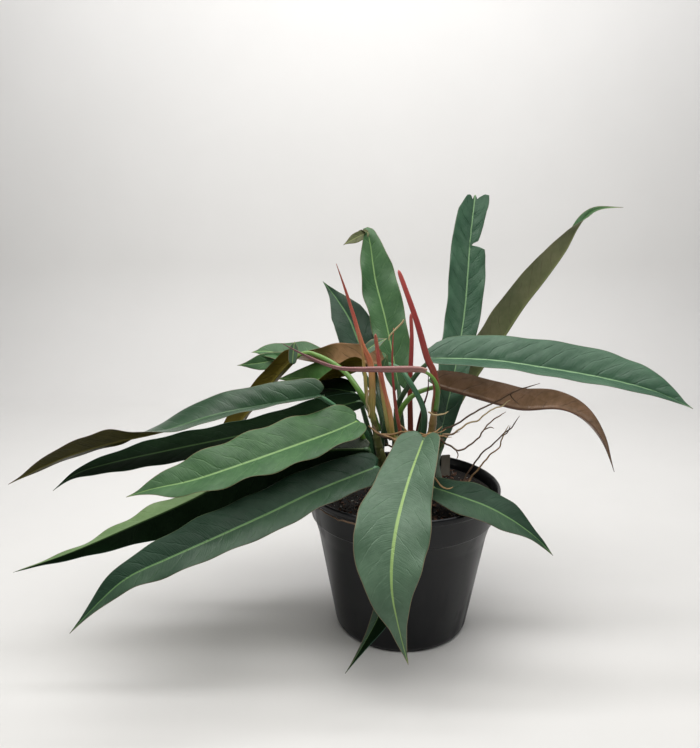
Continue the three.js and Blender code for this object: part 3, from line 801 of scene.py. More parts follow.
@dataclass
class Leaf:
    """One leaf: its stalk and its blade.

    Attributes:
        name: its name, which its nodes end with.
        petiole: course of the stalk, from the stem to the blade, in millimetres; empty for a
            loose lobe, which stands on another leaf's base.
        spine: course of the midrib, from the blade's base to its tip, in millimetres.
        width: widest measure of the blade, in millimetres.
        faces: the way the upper side faces, spread evenly from base to tip.
        fold: degrees that each half is folded up about the midrib, spread the same way.
        upper: finish of the upper side.
        left_upper: finish of the left half's upper side where it differs, often a painted shade.
        under: finish of the underside.
        stalk: finish of the stalk.
        belly: share of the length at which the blade is widest.
        lobe: how far the basal lobes reach back, in millimetres.
        shape: the blade's outline.
        wave: height of the margin's waves, in millimetres.
        quilt: height of the swelling between side veins, in millimetres.
        foot: radius of the stalk at its foot, in millimetres.
        skew: share by which the left half is wider than the mean and the right half narrower.
        crisp: keeps a sharp turn of the midrib sharp.
        seed: start of this leaf's own small irregularities.
    """

    name: str
    petiole: list[Triple]
    spine: list[Triple]
    width: float
    faces: list[Triple]
    fold: list[float]
    upper: Upper | Under = Upper.FRESH
    left_upper: Upper | None = None
    under: Under = Under.GREY_OLIVE
    stalk: Strand = Strand.DARK_STALK
    belly: float = 0.45
    lobe: float = 10.0
    shape: Shape = Shape.WHOLE
    wave: float = 1.6
    quilt: float = 0.4
    foot: float = 4.2
    skew: float = 0.0
    crisp: bool = False
    seed: int = 0

    STEP = 2.4          # length of one row of the blade's grid, in millimetres
    ACROSS = 27         # columns of the blade's grid
    LOBE_REACH = 0.22   # share of the length over which the lobes end
    THICKNESS = 0.7     # of the blade beside its midrib, in millimetres

    def build(self, materials: Materials) -> None:
        """Builds the blade and the stalk.

        Args:
            materials: the store of finishes.
        """
        blade = self._blade(materials)
        if not self.petiole:
            settle(blade, "leaf")
            return
        settle(blade, "leaf", f"leaf_{self.name}")
        stalk = self._stalk(materials)
        settle(stalk, "petiole", f"petiole_{self.name}")

    def _outline(self, t: np.ndarray) -> np.ndarray:
        """Half width at shares of the length."""
        pairs = np.array(self.shape.value, float)
        warp = math.log(0.45) / math.log(self.belly)
        fine = np.linspace(0, 1, 600)
        rough = np.interp(fine, pairs[:, 0], pairs[:, 1])[:, None]
        soft = smoothed(rough, 0.03)[:, 0]
        blend = np.clip(fine / 0.12, 0, 1)
        values = rough[:, 0] * (1 - blend) + soft * blend
        return np.interp(t ** warp, fine, values) * self.width / 2

    def _rows(self) -> np.ndarray:
        """Shares of the length of the grid's rows, closer at the base and the tip."""
        step = self.STEP / 2 if self.shape is Shape.TORN else self.STEP
        count = int(Course(self.spine).length / step)
        even = np.linspace(0, 1, count)
        return 0.55 * even + 0.45 * (1 - np.cos(math.pi * even)) / 2

    def _blade(self, materials: Materials) -> bpy.types.Object:
        """The blade as one closed sheet with an upper and a lower side."""
        random = np.random.RandomState(self.seed + 11)
        t = self._rows()
        course = Course(self.spine)
        centre = course.at(t, 0.02 if self.crisp else 0.05)
        ahead = unit(np.gradient(centre, t, axis=0))
        face = along(self.faces, t)
        face = unit(face - (face * ahead).sum(1, keepdims=True) * ahead)
        side = np.cross(ahead, face)
        fold = np.radians(along(self.fold, t)[:, 0])
        half = self._outline(t)
        run = t * course.length
        even = np.linspace(-1, 1, self.ACROSS)
        s = np.sign(even) * (0.75 * np.abs(even) + 0.25 * (1 - np.cos(np.pi * np.abs(even))) / 2)
        share = np.abs(s)
        lateral, rise = self._section(fold, share)
        phases = random.uniform(0, 2 * math.pi, 6)
        wide = self._half_widths(half, run, s, phases)
        lobe = self.lobe * np.clip(1 - t / self.LOBE_REACH, 0, 1) ** 1.5
        back = lobe[:, None] * np.sin(share * math.pi / 2)[None, :]
        if self.shape is Shape.TORN:
            ragged = np.interp(s, *zip(*RAGGED))
            back = back + ragged[None, :] * np.clip((t - 0.93) / 0.07, 0, 1)[:, None]
        points = (centre[:, None, :]
                  + side[:, None, :] * (np.sign(s)[None, :] * lateral * wide)[..., None]
                  + face[:, None, :] * (rise * wide)[..., None]
                  - ahead[:, None, :] * back[..., None])
        span = s[None, :] * wide
        normal = self._normals(points)
        relief = self._relief(run, span, wide, t, share, phases)
        points = points + normal * relief[..., None]
        normal = self._normals(points)
        stored = np.stack([np.broadcast_to(run[:, None], span.shape) - back * 0.6, span,
                           np.broadcast_to(wide, span.shape)], -1)
        thin = self.THICKNESS * (1 - 0.6 * share ** 2)[None, :] * np.clip(
            half / (0.25 * self.width), 0.25, 1)[:, None]
        rib = self._rib(run, span, course.length)
        sheet = Sheet()
        upper = points + normal * (thin / 2 + 0.25 * rib)[..., None]
        lower = points - normal * (thin / 2 + rib)[..., None]
        top = sheet.grid(upper, stored, 0)
        middle = self.ACROSS // 2
        halves = sheet.slots[-1].reshape(-1, self.ACROSS - 1)
        halves[:, :middle] = 2 if self.left_upper else 0
        bottom = sheet.grid(lower, stored, 1, flip=True)
        sheet.strip(top[:, 0], bottom[:, 0], 1)
        sheet.strip(bottom[:, -1], top[:, -1], 1)
        sheet.strip(bottom[0, :], top[0, :], 1)
        sheet.strip(top[-1, :], bottom[-1, :], 1)
        return sheet.make(f"{self.name}_blade", "blade",
                          [materials.leaf(side) for side in
                           (self.upper, self.under, self.left_upper) if side])

    @staticmethod
    def _section(fold: np.ndarray, share: np.ndarray) -> tuple[np.ndarray, np.ndarray]:
        """How far out and up each column lies, steeper at the midrib than at the margin.

        Args:
            fold: fold angle of each row.
            share: distance of each column from the midrib, 0 to 1.

        Returns:
            Two arrays, rows by columns, as shares of the half width.
        """
        fine = np.linspace(0, 1, 41)
        angle = fold[:, None] * (1.35 - 0.7 * fine)[None, :]
        step = fine[1] - fine[0]
        out = np.cumsum(np.cos(angle), 1) * step - np.cos(angle[:, :1]) * step
        up = np.cumsum(np.sin(angle), 1) * step - np.sin(angle[:, :1]) * step
        rows = range(len(fold))
        return (np.stack([np.interp(share, fine, out[i]) for i in rows]),
                np.stack([np.interp(share, fine, up[i]) for i in rows]))

    def _half_widths(self, half: np.ndarray, run: np.ndarray, s: np.ndarray,
                     phases: np.ndarray) -> np.ndarray:
        """Half width of each row on each side, with small wanderings of the margin."""
        left = 1 + 0.018 * np.sin(run / 9.5 + phases[0]) + 0.02 * np.sin(run / 23 + phases[1])
        right = 1 + 0.018 * np.sin(run / 8.7 + phases[2]) + 0.02 * np.sin(run / 26 + phases[3])
        left, right = left * (1 + self.skew), right * (1 - self.skew)
        if self.shape is Shape.TORN:
            right = right * np.interp(run / run[-1], *zip(*TEAR))
        return half[:, None] * np.where(s[None, :] < 0, left[:, None], right[:, None])

    @staticmethod
    def _normals(points: np.ndarray) -> np.ndarray:
        """Unit normals of a grid, on the upper side."""
        down = np.gradient(points, axis=0)
        over = np.gradient(points, axis=1)
        return unit(np.cross(over, down))

    def _relief(self, run: np.ndarray, span: np.ndarray, wide: np.ndarray, t: np.ndarray,
                share: np.ndarray, phases: np.ndarray) -> np.ndarray:
        """Height above the smooth blade: swelling between veins, and waves of the margin."""
        away = np.abs(span)
        lean = VEIN_LEAN * away + VEIN_CURVE * away * share[None, :]
        drift = 3.2 * np.sin(run / 31 + phases[1]) + 1.6 * np.sin(run / 12.5 + phases[2])
        turn = (run[:, None] + drift[:, None] - lean + VEIN_OFFSET * np.sign(span)) / VEIN_SPACING
        swell = np.abs(np.sin(math.pi * (turn + 0.5))) ** 0.7
        inner = np.clip(share / 0.15, 0, 1) * np.clip((1 - share) / 0.2, 0, 1)
        ends = np.clip(t / 0.08, 0, 1) * np.clip((1 - t) / 0.12, 0, 1)
        relief = self.quilt * swell * inner[None, :] * ends[:, None]
        left = np.sin(run / 8.5 + phases[4]) + 0.6 * np.sin(run / 21.0 + phases[5])
        right = np.sin(run / 9.3 + phases[5]) + 0.6 * np.sin(run / 19.0 + phases[4])
        waves = np.where(span < 0, left[:, None], right[:, None])
        calm = np.clip(t / 0.05, 0, 1) * np.clip((1 - t) / 0.3, 0, 1)
        return relief + self.wave * waves * (share ** 2.5)[None, :] * calm[:, None]

    def _rib(self, run: np.ndarray, span: np.ndarray, length: float) -> np.ndarray:
        """Extra thickness of the midrib, mostly on the underside."""
        size = 2.3 * (1 - 0.85 * run / length)
        return size[:, None] * np.exp(-(span / (0.6 + 0.75 * size[:, None])) ** 2)

    def _stalk(self, materials: Materials) -> bpy.types.Object:
        """The stalk, from inside the stem's skin to the midrib's underside."""
        base = Vector(self.spine[0])
        into = (Vector(self.spine[1]) - base).normalized()
        face = Vector(self.faces[0])
        face = (face - into * face.dot(into)).normalized()
        end = base + into * 5.0 - face * 1.2
        course = [*self.petiole, tuple(base - into * 1.5 - face * 1.0), tuple(end)]
        tube = Tube(course, [(0, self.foot * 1.25), (0.08, self.foot), (0.5, self.foot * 0.82),
                             (0.9, 2.9), (0.96, 2.6), (1, 1.4)], groove=0.16, seed=self.seed)
        return tube.make(f"{self.name}_stalk", materials.strand(self.stalk))


@dataclass
class Tube:
    """A strand of round or grooved section along a course.

    Attributes:
        course: its course in millimetres.
        radii: (place, radius) pairs from 0 to 1.
        groove: depth of a groove along one side, as a share of the radius.
        flat: share by which the section is flattened.
        wobble: how far the course wanders, in millimetres.
        rings: height of ring-shaped scars, in millimetres.
        sides: points round the section.
        step: length of one row, in millimetres.
        seed: start of its own irregularities.
    """

    course: list[Triple]
    radii: list[tuple[float, float]]
    groove: float = 0.0
    flat: float = 0.0
    wobble: float = 0.0
    rings: float = 0.0
    sides: int = 16
    step: float = 2.5
    seed: int = 0

    def rows(self) -> tuple[np.ndarray, np.ndarray]:
        """The tube's points and stored vectors, rows by columns by 3."""
        random = np.random.RandomState(self.seed + 5)
        course = Course(self.course)
        count = max(6, int(course.length / self.step))
        t = np.linspace(0, 1, count)
        centre = course.at(t, 0.03)
        if self.wobble:
            phase = random.uniform(0, 2 * math.pi, (3, 3))
            drift = sum(np.sin(t[:, None] * course.length / reach + phase[k]) * size
                        for k, (reach, size) in enumerate(((5.5, 0.5), (3.1, 0.25), (1.9, 0.15))))
            centre = centre + drift * self.wobble * np.clip(t / 0.1, 0, 1)[:, None]
        ahead = unit(np.gradient(centre, t, axis=0))
        side = self._carried(ahead)
        other = np.cross(ahead, side)
        pairs = np.array(self.radii, float)
        radius = np.interp(t, pairs[:, 0], pairs[:, 1])
        if self.rings:
            marks = np.cumsum(random.uniform(9, 17, 40))
            near = np.abs(t[:, None] * course.length - marks[None, :]).min(1)
            radius = radius + self.rings * np.exp(-(near / 1.6) ** 2)
        turn = np.linspace(0, 1, self.sides, endpoint=False)
        angle = turn * 2 * math.pi
        dip = self.groove * np.exp(-((turn - 0.25) / 0.07) ** 2)
        around = radius[:, None] * (1 - dip)[None, :]
        points = (centre[:, None, :]
                  + side[:, None, :] * (around * np.cos(angle))[..., None]
                  + other[:, None, :] * (around * np.sin(angle) * (1 - self.flat))[..., None])
        stored = np.stack(np.broadcast_arrays(t[:, None], np.cos(angle)[None, :],
                                              np.sin(angle)[None, :]), -1)
        return points, stored

    @staticmethod
    def _carried(ahead: np.ndarray) -> np.ndarray:
        """A side direction carried along the course without twisting."""
        side = np.cross(ahead[0], (0.1, 1.0, 0.2))
        sides = []
        for direction in ahead:
            side = side - direction * side.dot(direction)
            side = side / np.linalg.norm(side)
            sides.append(side)
        return np.array(sides)

    def add_to(self, sheet: Sheet, slot: int = 0) -> None:
        """Adds the closed tube to a sheet."""
        points, stored = self.rows()
        index = sheet.grid(points, stored, slot, ring=True)
        sheet.cap(index[0], slot, flip=True)
        sheet.cap(index[-1], slot)

    def make(self, name: str, material: bpy.types.Material) -> bpy.types.Object:
        """Makes the tube as one object."""
        sheet = Sheet()
        self.add_to(sheet)
        return sheet.make(name, "strand", [material])


# The near-black and deep finishes paint shade on leaves and halves that lie under others.
LEAVES = [
    Leaf("front", [(26, -20, 205), (25, -32, 240), (21, -42, 262)], [(22, -45, 268),
        (-3, -100, 226), (-20, -150, 184), (-24, -175, 140), (-16, -180, 95), (-4, -176, 45)], 88,
        [(-0.42, -0.6, 1), (0, -1, 0.5), (0, -1, 0.1)], [15, 12, 12, 22], Upper.GREY_GREEN,
        shape=Shape.LATE, lobe=9, wave=2.2, skew=-0.08, seed=1),
    Leaf("under_front", [(10, -18, 190), (10, -38, 207), (10, -54, 212)], [(10, -60, 215),
        (-5, -125, 202), (-22, -144, 135), (-37, -148, 88), (-58, -153, 48), (-75, -155, 19)], 38,
        [(0, -0.5, 1), (0, -1, 0.2), (0, -1, 0)], [14], Upper.DUSKY, Upper.OLD, skew=0.3,
        wave=0.8, seed=2),
    Leaf("right_low", [(40, -16, 190), (41, -38, 203), (35, -55, 209)], [(33, -60, 210),
        (63, -85, 208), (95, -105, 202), (127, -120, 187), (148, -130, 172), (162, -137, 158)],
        52, [(-0.15, -0.45, 0.9)], [15], Upper.DUSKY, Upper.DEEP, stalk=Strand.BRIGHT_STALK,
        lobe=12, wave=2.2, skew=-0.14, seed=3),
    Leaf("right", [(-6, 26, 250), (-6, 28, 290), (6, 24, 316), (21, 16, 341), (33, 12, 354)],
        [(36, 10, 358), (110, -5, 358), (170, -15, 351), (245, -30, 340), (305, -45, 326),
        (345, -55, 309)], 78, [(0, -0.5, 0.85)], [28], Upper.BLUE_GREEN, belly=0.55, lobe=8,
        shape=Shape.FULL, quilt=0.9, wave=0.5, seed=4),
    Leaf("right_drooping", [(-8, 15, 245), (-6, 14, 280), (5, 16, 300), (20, 20, 311),
        (42, 25, 317)], [(45, 25, 318), (103, 30, 300), (160, 35, 284), (215, 40, 283),
        (252, 42, 266), (276, 44, 238), (296, 45, 192)], 62, [(0, 0.7, 0.7), (0, 0.7, 0.7),
        (0.3, 0.85, 0.4), (0.5, 0.9, 0.3)], [60, 60, 50, 50], Upper.FRESH, under=Under.PINK_BROWN,
        stalk=Strand.BRIGHT_STALK, belly=0.38, quilt=0.3, wave=0.05, lobe=12, seed=5),
    Leaf("torn", [(36, 8, 190), (42, 25, 215), (51, 42, 238)], [(54, 45, 244), (76, 75, 332),
        (90, 100, 404), (99, 125, 505), (106, 140, 568)], 60, [(0, -1, 0)], [20],
        Upper.BLUE_GREEN, stalk=Strand.TEAL_STALK, shape=Shape.TORN, quilt=0.7, seed=6),
    Leaf("tall_right", [(50, 4, 192), (50, 38, 204), (58, 74, 211)], [(61, 80, 217),
        (91, 86, 288), (147, 92, 376), (172, 95, 416), (198, 98, 450), (230, 104, 496),
        (241, 106, 520), (262, 107, 545), (300, 100, 549)], 68, [(-0.85, 0.3, 0.4)] +
        [(-0.8, 0.5, 0.4)] * 8 + [(0, -0.7, 0.7)] * 2, [50, 45, 38, 30], Upper.FRESH, belly=0.54,
        skew=-0.15, lobe=8, seed=7),
    Leaf("tall_back", [(4, 20, 225), (0, 40, 270), (-3, 58, 309)], [(-4, 60, 316), (-20, 95, 396),
        (-34, 120, 451), (-42, 138, 505), (-46, 141, 516), (-57, 138, 511), (-79, 125, 498)], 56,
        [(0.1, -1, 0.2)] * 9 + [(0.3, 0.9, 0.3)] * 2, [20], Upper.FRESH, lobe=12, belly=0.5,
        wave=2.4, crisp=True, skew=-0.12, seed=8),
    Leaf("back_slender", [(-22, 26, 235), (-30, 50, 300), (-35, 78, 330)], [(-36, 88, 339),
        (-54, 110, 357), (-71, 138, 393), (-94, 165, 425), (-110, 180, 443)], 56,
        [(0.1, -1, 0.3)], [15], Upper.DEEP, belly=0.42, seed=9),
    Leaf("back_left_far", [(24, 8, 235), (26, -4, 290), (12, -4, 322), (-6, 10, 345),
        (-28, 35, 346)], [(-33, 40, 344), (-56, 58, 342), (-82, 76, 338), (-114, 94, 337),
        (-155, 112, 341), (-190, 122, 347), (-212, 126, 345)], 62, [(0, 0.7, 0.7), (0, 0.6, 0.8),
        (0, -0.4, 0.9), (0, -0.7, 0.8)], [60, 50, 20, 10], Upper.FRESH, under=Under.WARM_BROWN,
        stalk=Strand.TEAL_STALK, belly=0.5, shape=Shape.FULL, wave=2.4, seed=10),
    Leaf("back_left_hanging", [(-33, 9, 262), (-39, 8, 284), (-50, 6, 304), (-60, 12, 319),
        (-72, 24, 333), (-90, 40, 345), (-112, 52, 354), (-126, 57, 357), (-137, 59, 354)],
        [(-142, 60, 351), (-158, 66, 336), (-186, 70, 302), (-215, 73, 266), (-250, 74, 223),
        (-292, 70, 190)], 41, [(-0.3, 0.7, 0.6)], [30], Upper.GREY_GREEN, under=Under.OLIVE,
        stalk=Strand.BRIGHT_STALK, lobe=6, shape=Shape.FULL, seed=11),
    Leaf("back_left_near", [(-19, 14, 250), (-34, 36, 296), (-50, 46, 331)], [(-53, 49, 338),
        (-83, 66, 323), (-120, 86, 313), (-148, 102, 312), (-174, 114, 308)], 60, [(0, 0.5, 0.9),
        (0, -0.6, 0.7), (0, -0.8, 0.6)], [40, 20, 20], Upper.VIVID, under=Under.OLIVE, lobe=8,
        seed=12),
    Leaf("back_left_inner", [(-28, 20, 236), (-44, 38, 283), (-61, 52, 298)], [(-67, 56, 302),
        (-92, 70, 303), (-120, 84, 298), (-150, 95, 286)], 42, [(0, -0.6, 0.9)], [15], Upper.OLD,
        lobe=8, seed=13),
    Leaf("left_twisted", [(-38, 2, 222), (-44, 0, 252), (-58, -8, 276), (-82, -16, 297),
        (-105, -19, 314)], [(-110, -20, 316), (-170, -20, 305), (-238, -22, 292),
        (-303, -25, 272), (-374, -20, 254), (-442, -15, 231), (-515, -10, 195)], 60,
        [(0, -0.5, 0.85), (0, -0.45, 0.9), (0, -0.4, 0.9), (0, -0.3, 0.95), (0, 0.1, 1),
        (0, 0.58, 0.8), (0, 0.62, 0.78), (0, 0.66, 0.75), (0, 0.7, 0.7)], [40, 34, 14, 16, 20,
        20], Upper.GLOSSY, under=Under.DARK_OLIVE, stalk=Strand.TEAL_STALK, belly=0.42,
        shape=Shape.FULL, wave=0.8, seed=14),
    Leaf("left_middle", [(-36, 11, 230), (-45, 18, 262), (-54, 25, 292)], [(-58, 26, 297),
        (-109, 22, 284), (-202, 20, 255), (-295, 15, 236), (-386, 5, 218), (-431, 0, 205),
        (-460, -5, 184)], 74, [(0, -0.26, 1)], [4], Upper.OLD, belly=0.5, lobe=8,
        shape=Shape.FULL, wave=0.9, seed=15),
    Leaf("left_bright", [(-37, -9, 203), (-48, -16, 248), (-60, -34, 282)], [(-62, -37, 287),
        (-85, -50, 280), (-140, -80, 268), (-196, -105, 255), (-251, -120, 241),
        (-295, -128, 234), (-322, -130, 226)], 72, [(0, -0.55, 0.83)], [20], Upper.FRESH,
        stalk=Strand.BRIGHT_STALK, lobe=6, wave=2.6, shape=Shape.FULL, seed=16),
    Leaf("left_folded", [(-30, -16, 192), (-37, -24, 226), (-45, -34, 245)], [(-48, -37, 252),
        (-101, -48, 254), (-173, -72, 247), (-259, -93, 207), (-329, -104, 178),
        (-400, -110, 148), (-468, -112, 124)], 72, [(0, -0.8, 0.6)], [-14, -42, -42, -42],
        Upper.YOUNG, Upper.OLD, belly=0.42, lobe=5, skew=0.12, wave=2.6, seed=17),
    Leaf("left_low", [(-14, -18, 192), (-24, -36, 216), (-34, -48, 229)], [(-38, -52, 233),
        (-110, -98, 220), (-160, -128, 206), (-223, -158, 187), (-270, -174, 171),
        (-309, -186, 156), (-340, -196, 130), (-370, -198, 98)], 58, [(0, -0.6, 0.8)], [12],
        Upper.DEEP, Upper.DUSKY, stalk=Strand.TEAL_STALK, belly=0.4, skew=-0.06, shape=Shape.FULL,
        seed=18),
]

FLAPS = [
    Leaf("hanging_lobe", [], [(-146, 44, 345), (-145, 45, 358), (-143, 46, 374)], 13,
        [(0, -1, 0.1)], [12], Upper.GREY_GREEN, belly=0.55, shape=Shape.FULL, lobe=1, wave=0.2,
        quilt=0.1, seed=31),
    Leaf("far_lobe", [], [(-50, 36, 362), (-36, 37, 372), (-20, 38, 380)], 17, [(0, -0.8, 0.6)],
        [18], Upper.GREY_GREEN, lobe=2, wave=0.4, quilt=0.1, seed=32),
    Leaf("far_fold", [], [(-152, 106, 339), (-176, 110, 336), (-206, 112, 331), (-232, 114, 328)],
        26, [(0, -1, 0.3)], [14], Upper.FRESH, lobe=2, wave=0.8, seed=34),
    Leaf("back_tip", [], [(-44, 140, 515), (-60, 135, 508), (-79, 125, 498)], 15,
        [(0.2, -1, 0.3)], [10], Under.GREY_OLIVE, lobe=1, wave=0.3, quilt=0.1, seed=35),
    Leaf("heart", [], [(-28, -2, 345), (-26, -4, 354), (-22, -5, 366)], 11, [(0.2, -1, 0.2)],
        [20], Upper.FRESH, lobe=1, wave=0.3, quilt=0.1, seed=33),
]

# Dark young stalks and dry stubs that fill the crown: radius, finish and course.
STUBS = {
    "stub_left": (3.6, Strand.DARK_STALK, [(-26, 12, 184), (-27, 15, 240), (-20, 14, 296)]),
    "stub_middle": (5.4, Strand.DARK_STALK, [(-4, -14, 184), (-8, -18, 222), (-10, -20, 258)]),
    "stub_right": (3.4, Strand.DARK_STALK, [(14, 16, 184), (18, 12, 236), (27, 4, 290)]),
    "stub_low": (3.6, Strand.DARK_STALK, [(-34, -6, 184), (-45, -12, 214), (-52, -22, 246)]),
    "stub_teal": (4.2, Strand.TEAL_STALK, [(-16, -12, 184), (-36, -22, 216), (-58, -30, 250)]),
    "stub_back": (4.0, Strand.DARK_STALK, [(-4, 4, 184), (-10, 8, 240), (-9, 12, 300)]),
    "stub_wide": (4.6, Strand.STEM, [(-18, -4, 184), (-22, -8, 214), (-29, -10, 244)]),
    "green_arch": (2.7, Strand.BRIGHT_STALK, [(39, -17, 296), (40.5, -20, 314), (39, -25, 330),
        (33, -26, 341), (26, -26, 347), (19, -26, 350)]),
    "dry_sheath": (2.6, Strand.ROOT_DARK, [(14, -18, 224), (10, -21, 248), (5, -22, 272)]),
}

STEMS = {
    "left": ([(-20, 0, 150), (-24, -1, 205), (-33, -3, 250), (-40, -5, 286)], 3.4, Strand.STEM),
    "middle": ([(2, 5, 150), (1, 5, 200), (-3, 1, 235), (-9, -4, 258)], 4.0, Strand.STEM),
    "right": ([(22, -5, 150), (26, -6, 200), (34, -9, 250), (38, -13, 300)], 4.0,
        Strand.OLIVE_STEM),
}

# Name: radius, blunt tip or not, where its foot joins the stem, finish and course.
SHEATHS = {
    "left_tall": (4.6, False, (-39, -5, 278), Strand.SHEATH_SALMON, [(-41, -6, 292),
        (-41, -6, 327), (-44, -6, 357), (-54, -7, 379), (-64, -8, 413), (-75, -10, 448),
        (-86, -12, 480)]),
    "left_short": (3.9, True, (-8, -5, 248), Strand.SHEATH_SALMON, [(-15, -10, 262),
        (-19, -11, 292), (-26, -12, 319), (-33, -13, 358), (-38, -14, 394)]),
    "middle_slim": (2.5, False, (-4, -4, 250), Strand.SHEATH_RED, [(-5, -8, 266), (-10, -6, 293),
        (-14, -6, 326), (-16, -6, 359), (-15, -6, 400)]),
    "middle_back": (3.9, True, (10, 24, 222), Strand.SHEATH_RED, [(12, 32, 250), (11, 36, 298),
        (11, 38, 325), (12, 38, 379), (10, 38, 413)]),
    "maroon": (2.4, False, (14, 8, 232), Strand.MAROON_STALK, [(20, 16, 262), (24, 12, 287),
        (32, 14, 314), (33, 20, 336)]),
    "right_tall": (4.6, True, (37, -13, 290), Strand.SHEATH_RED, [(38, -14, 304), (40, -15, 320),
        (35, -15, 347), (28, -15, 361), (14, -13, 407), (-2, -9, 451), (-10, -6, 472)]),
    "arching": (4.4, False, (25, -26, 349), Strand.SHEATH_MAUVE, [(20, -26, 351), (8, -27, 352),
        (-32, -28, 352), (-82, -31, 354), (-106, -33, 362), (-130, -35, 374), (-152, -37, 386)]),
}

# Second strands that split off beside a sheath.
TWINS = {
    "left_tall": [[(-44, -9, 284), (-48, -11, 312), (-51, -11, 345), (-55, -11, 378),
        (-59, -10, 396)]],
    "left_short": [[(-18, -13, 256), (-24, -15, 290), (-29, -16, 318), (-35, -16, 350)]],
}

ROOTS = {
    "upper": (Strand.ROOT_DARK, [(52, 12, 262), (56, 10, 265), (69, 5, 272), (92, 0, 290),
        (114, -5, 303), (134, -10, 316), (151, -12, 325), (169, -14, 330)]),
    "pale": (Strand.ROOT_PALE, [(50, -8, 262), (64, -14, 266), (79, -18, 279), (96, -20, 287),
        (107, -22, 298), (121, -24, 305), (131, -26, 312)]),
    "dark": (Strand.ROOT_DARK, [(46, -16, 258), (56, -20, 252), (66, -24, 246), (80, -26, 252),
        (91, -28, 262), (98, -30, 275), (112, -31, 290), (125, -32, 300)]),
    "back": (Strand.ROOT_DARK, [(84, 30, 181), (98, 40, 201), (106, 42, 213), (123, 45, 229),
        (139, 48, 243), (153, 50, 256), (163, 52, 270)]),
    "gold": (Strand.ROOT_TAN, [(86, 18, 181), (104, 26, 203), (120, 30, 221), (133, 32, 233),
        (136, 32, 244), (143, 32, 262)]),
    "tan": (Strand.ROOT_TAN, [(22, -62, 236), (32, -74, 228), (41, -84, 221), (48, -86, 219),
        (53, -84, 220)]),
    "rim": (Strand.ROOT_DARK, [(-18, -92, 181.5), (-27, -108, 190), (-36, -120, 198),
        (-47, -121, 192), (-60, -113, 186), (-80, -100, 184.5), (-97, -83, 185.5),
        (-112, -62, 188)]),
}


# Side shoots of the long roots.
SHOOTS = {
    "upper": [[(134, -10, 316), (139, -11, 309), (146, -13, 303)]],
    "dark": [[(66, -24, 246), (68, -26, 240), (66, -28, 235)], [(98, -30, 275), (106, -31, 279),
        (111, -31, 277)]],
    "back": [[(139, 48, 243), (147, 48, 249), (149, 47, 258)]],
}

# Short roots that cross one another round the stems.
TANGLE = {
    "tangle_tan": (Strand.ROOT_TAN, [[(-46, -22, 278), (-30, -29, 268), (-8, -31, 264),
        (12, -31, 265), (34, -29, 268), (52, -24, 274)], [(-28, -24, 268), (-10, -33, 262),
        (14, -35, 262), (30, -33, 266), (44, -28, 266), (60, -24, 264)], [(-6, -26, 280),
        (4, -31, 272), (18, -34, 268), (36, -31, 272), (46, -24, 278)], [(-34, -18, 264),
        (-20, -26, 268), (-2, -31, 272), (16, -32, 272), (28, -28, 268)]]),
    "tangle_dark": (Strand.ROOT_DARK, [[(-40, -14, 276), (-34, -22, 268), (-18, -28, 262),
        (2, -31, 260), (20, -32, 260), (38, -30, 264)], [(10, -22, 272), (22, -32, 264),
        (36, -32, 262), (50, -26, 262)], [(-24, -20, 254), (-12, -26, 249), (0, -27, 244),
        (8, -26, 237)], [(28, -22, 268), (40, -24, 264), (56, -18, 264), (70, -14, 268)]]),
    "tangle_pale": (Strand.ROOT_PALE, [[(-3, -14, 412), (-9, -17, 404), (-16, -18, 397),
        (-20, -17, 392), (-22, -16, 386)], [(29, -22, 296), (36, -24, 293), (46, -24, 294),
        (54, -23, 296)], [(-46, -12, 322), (-48, -14, 308), (-45, -14, 296), (-47, -15, 288)]]),
}


# ------------------------------------------------------------------ pot, soil and label


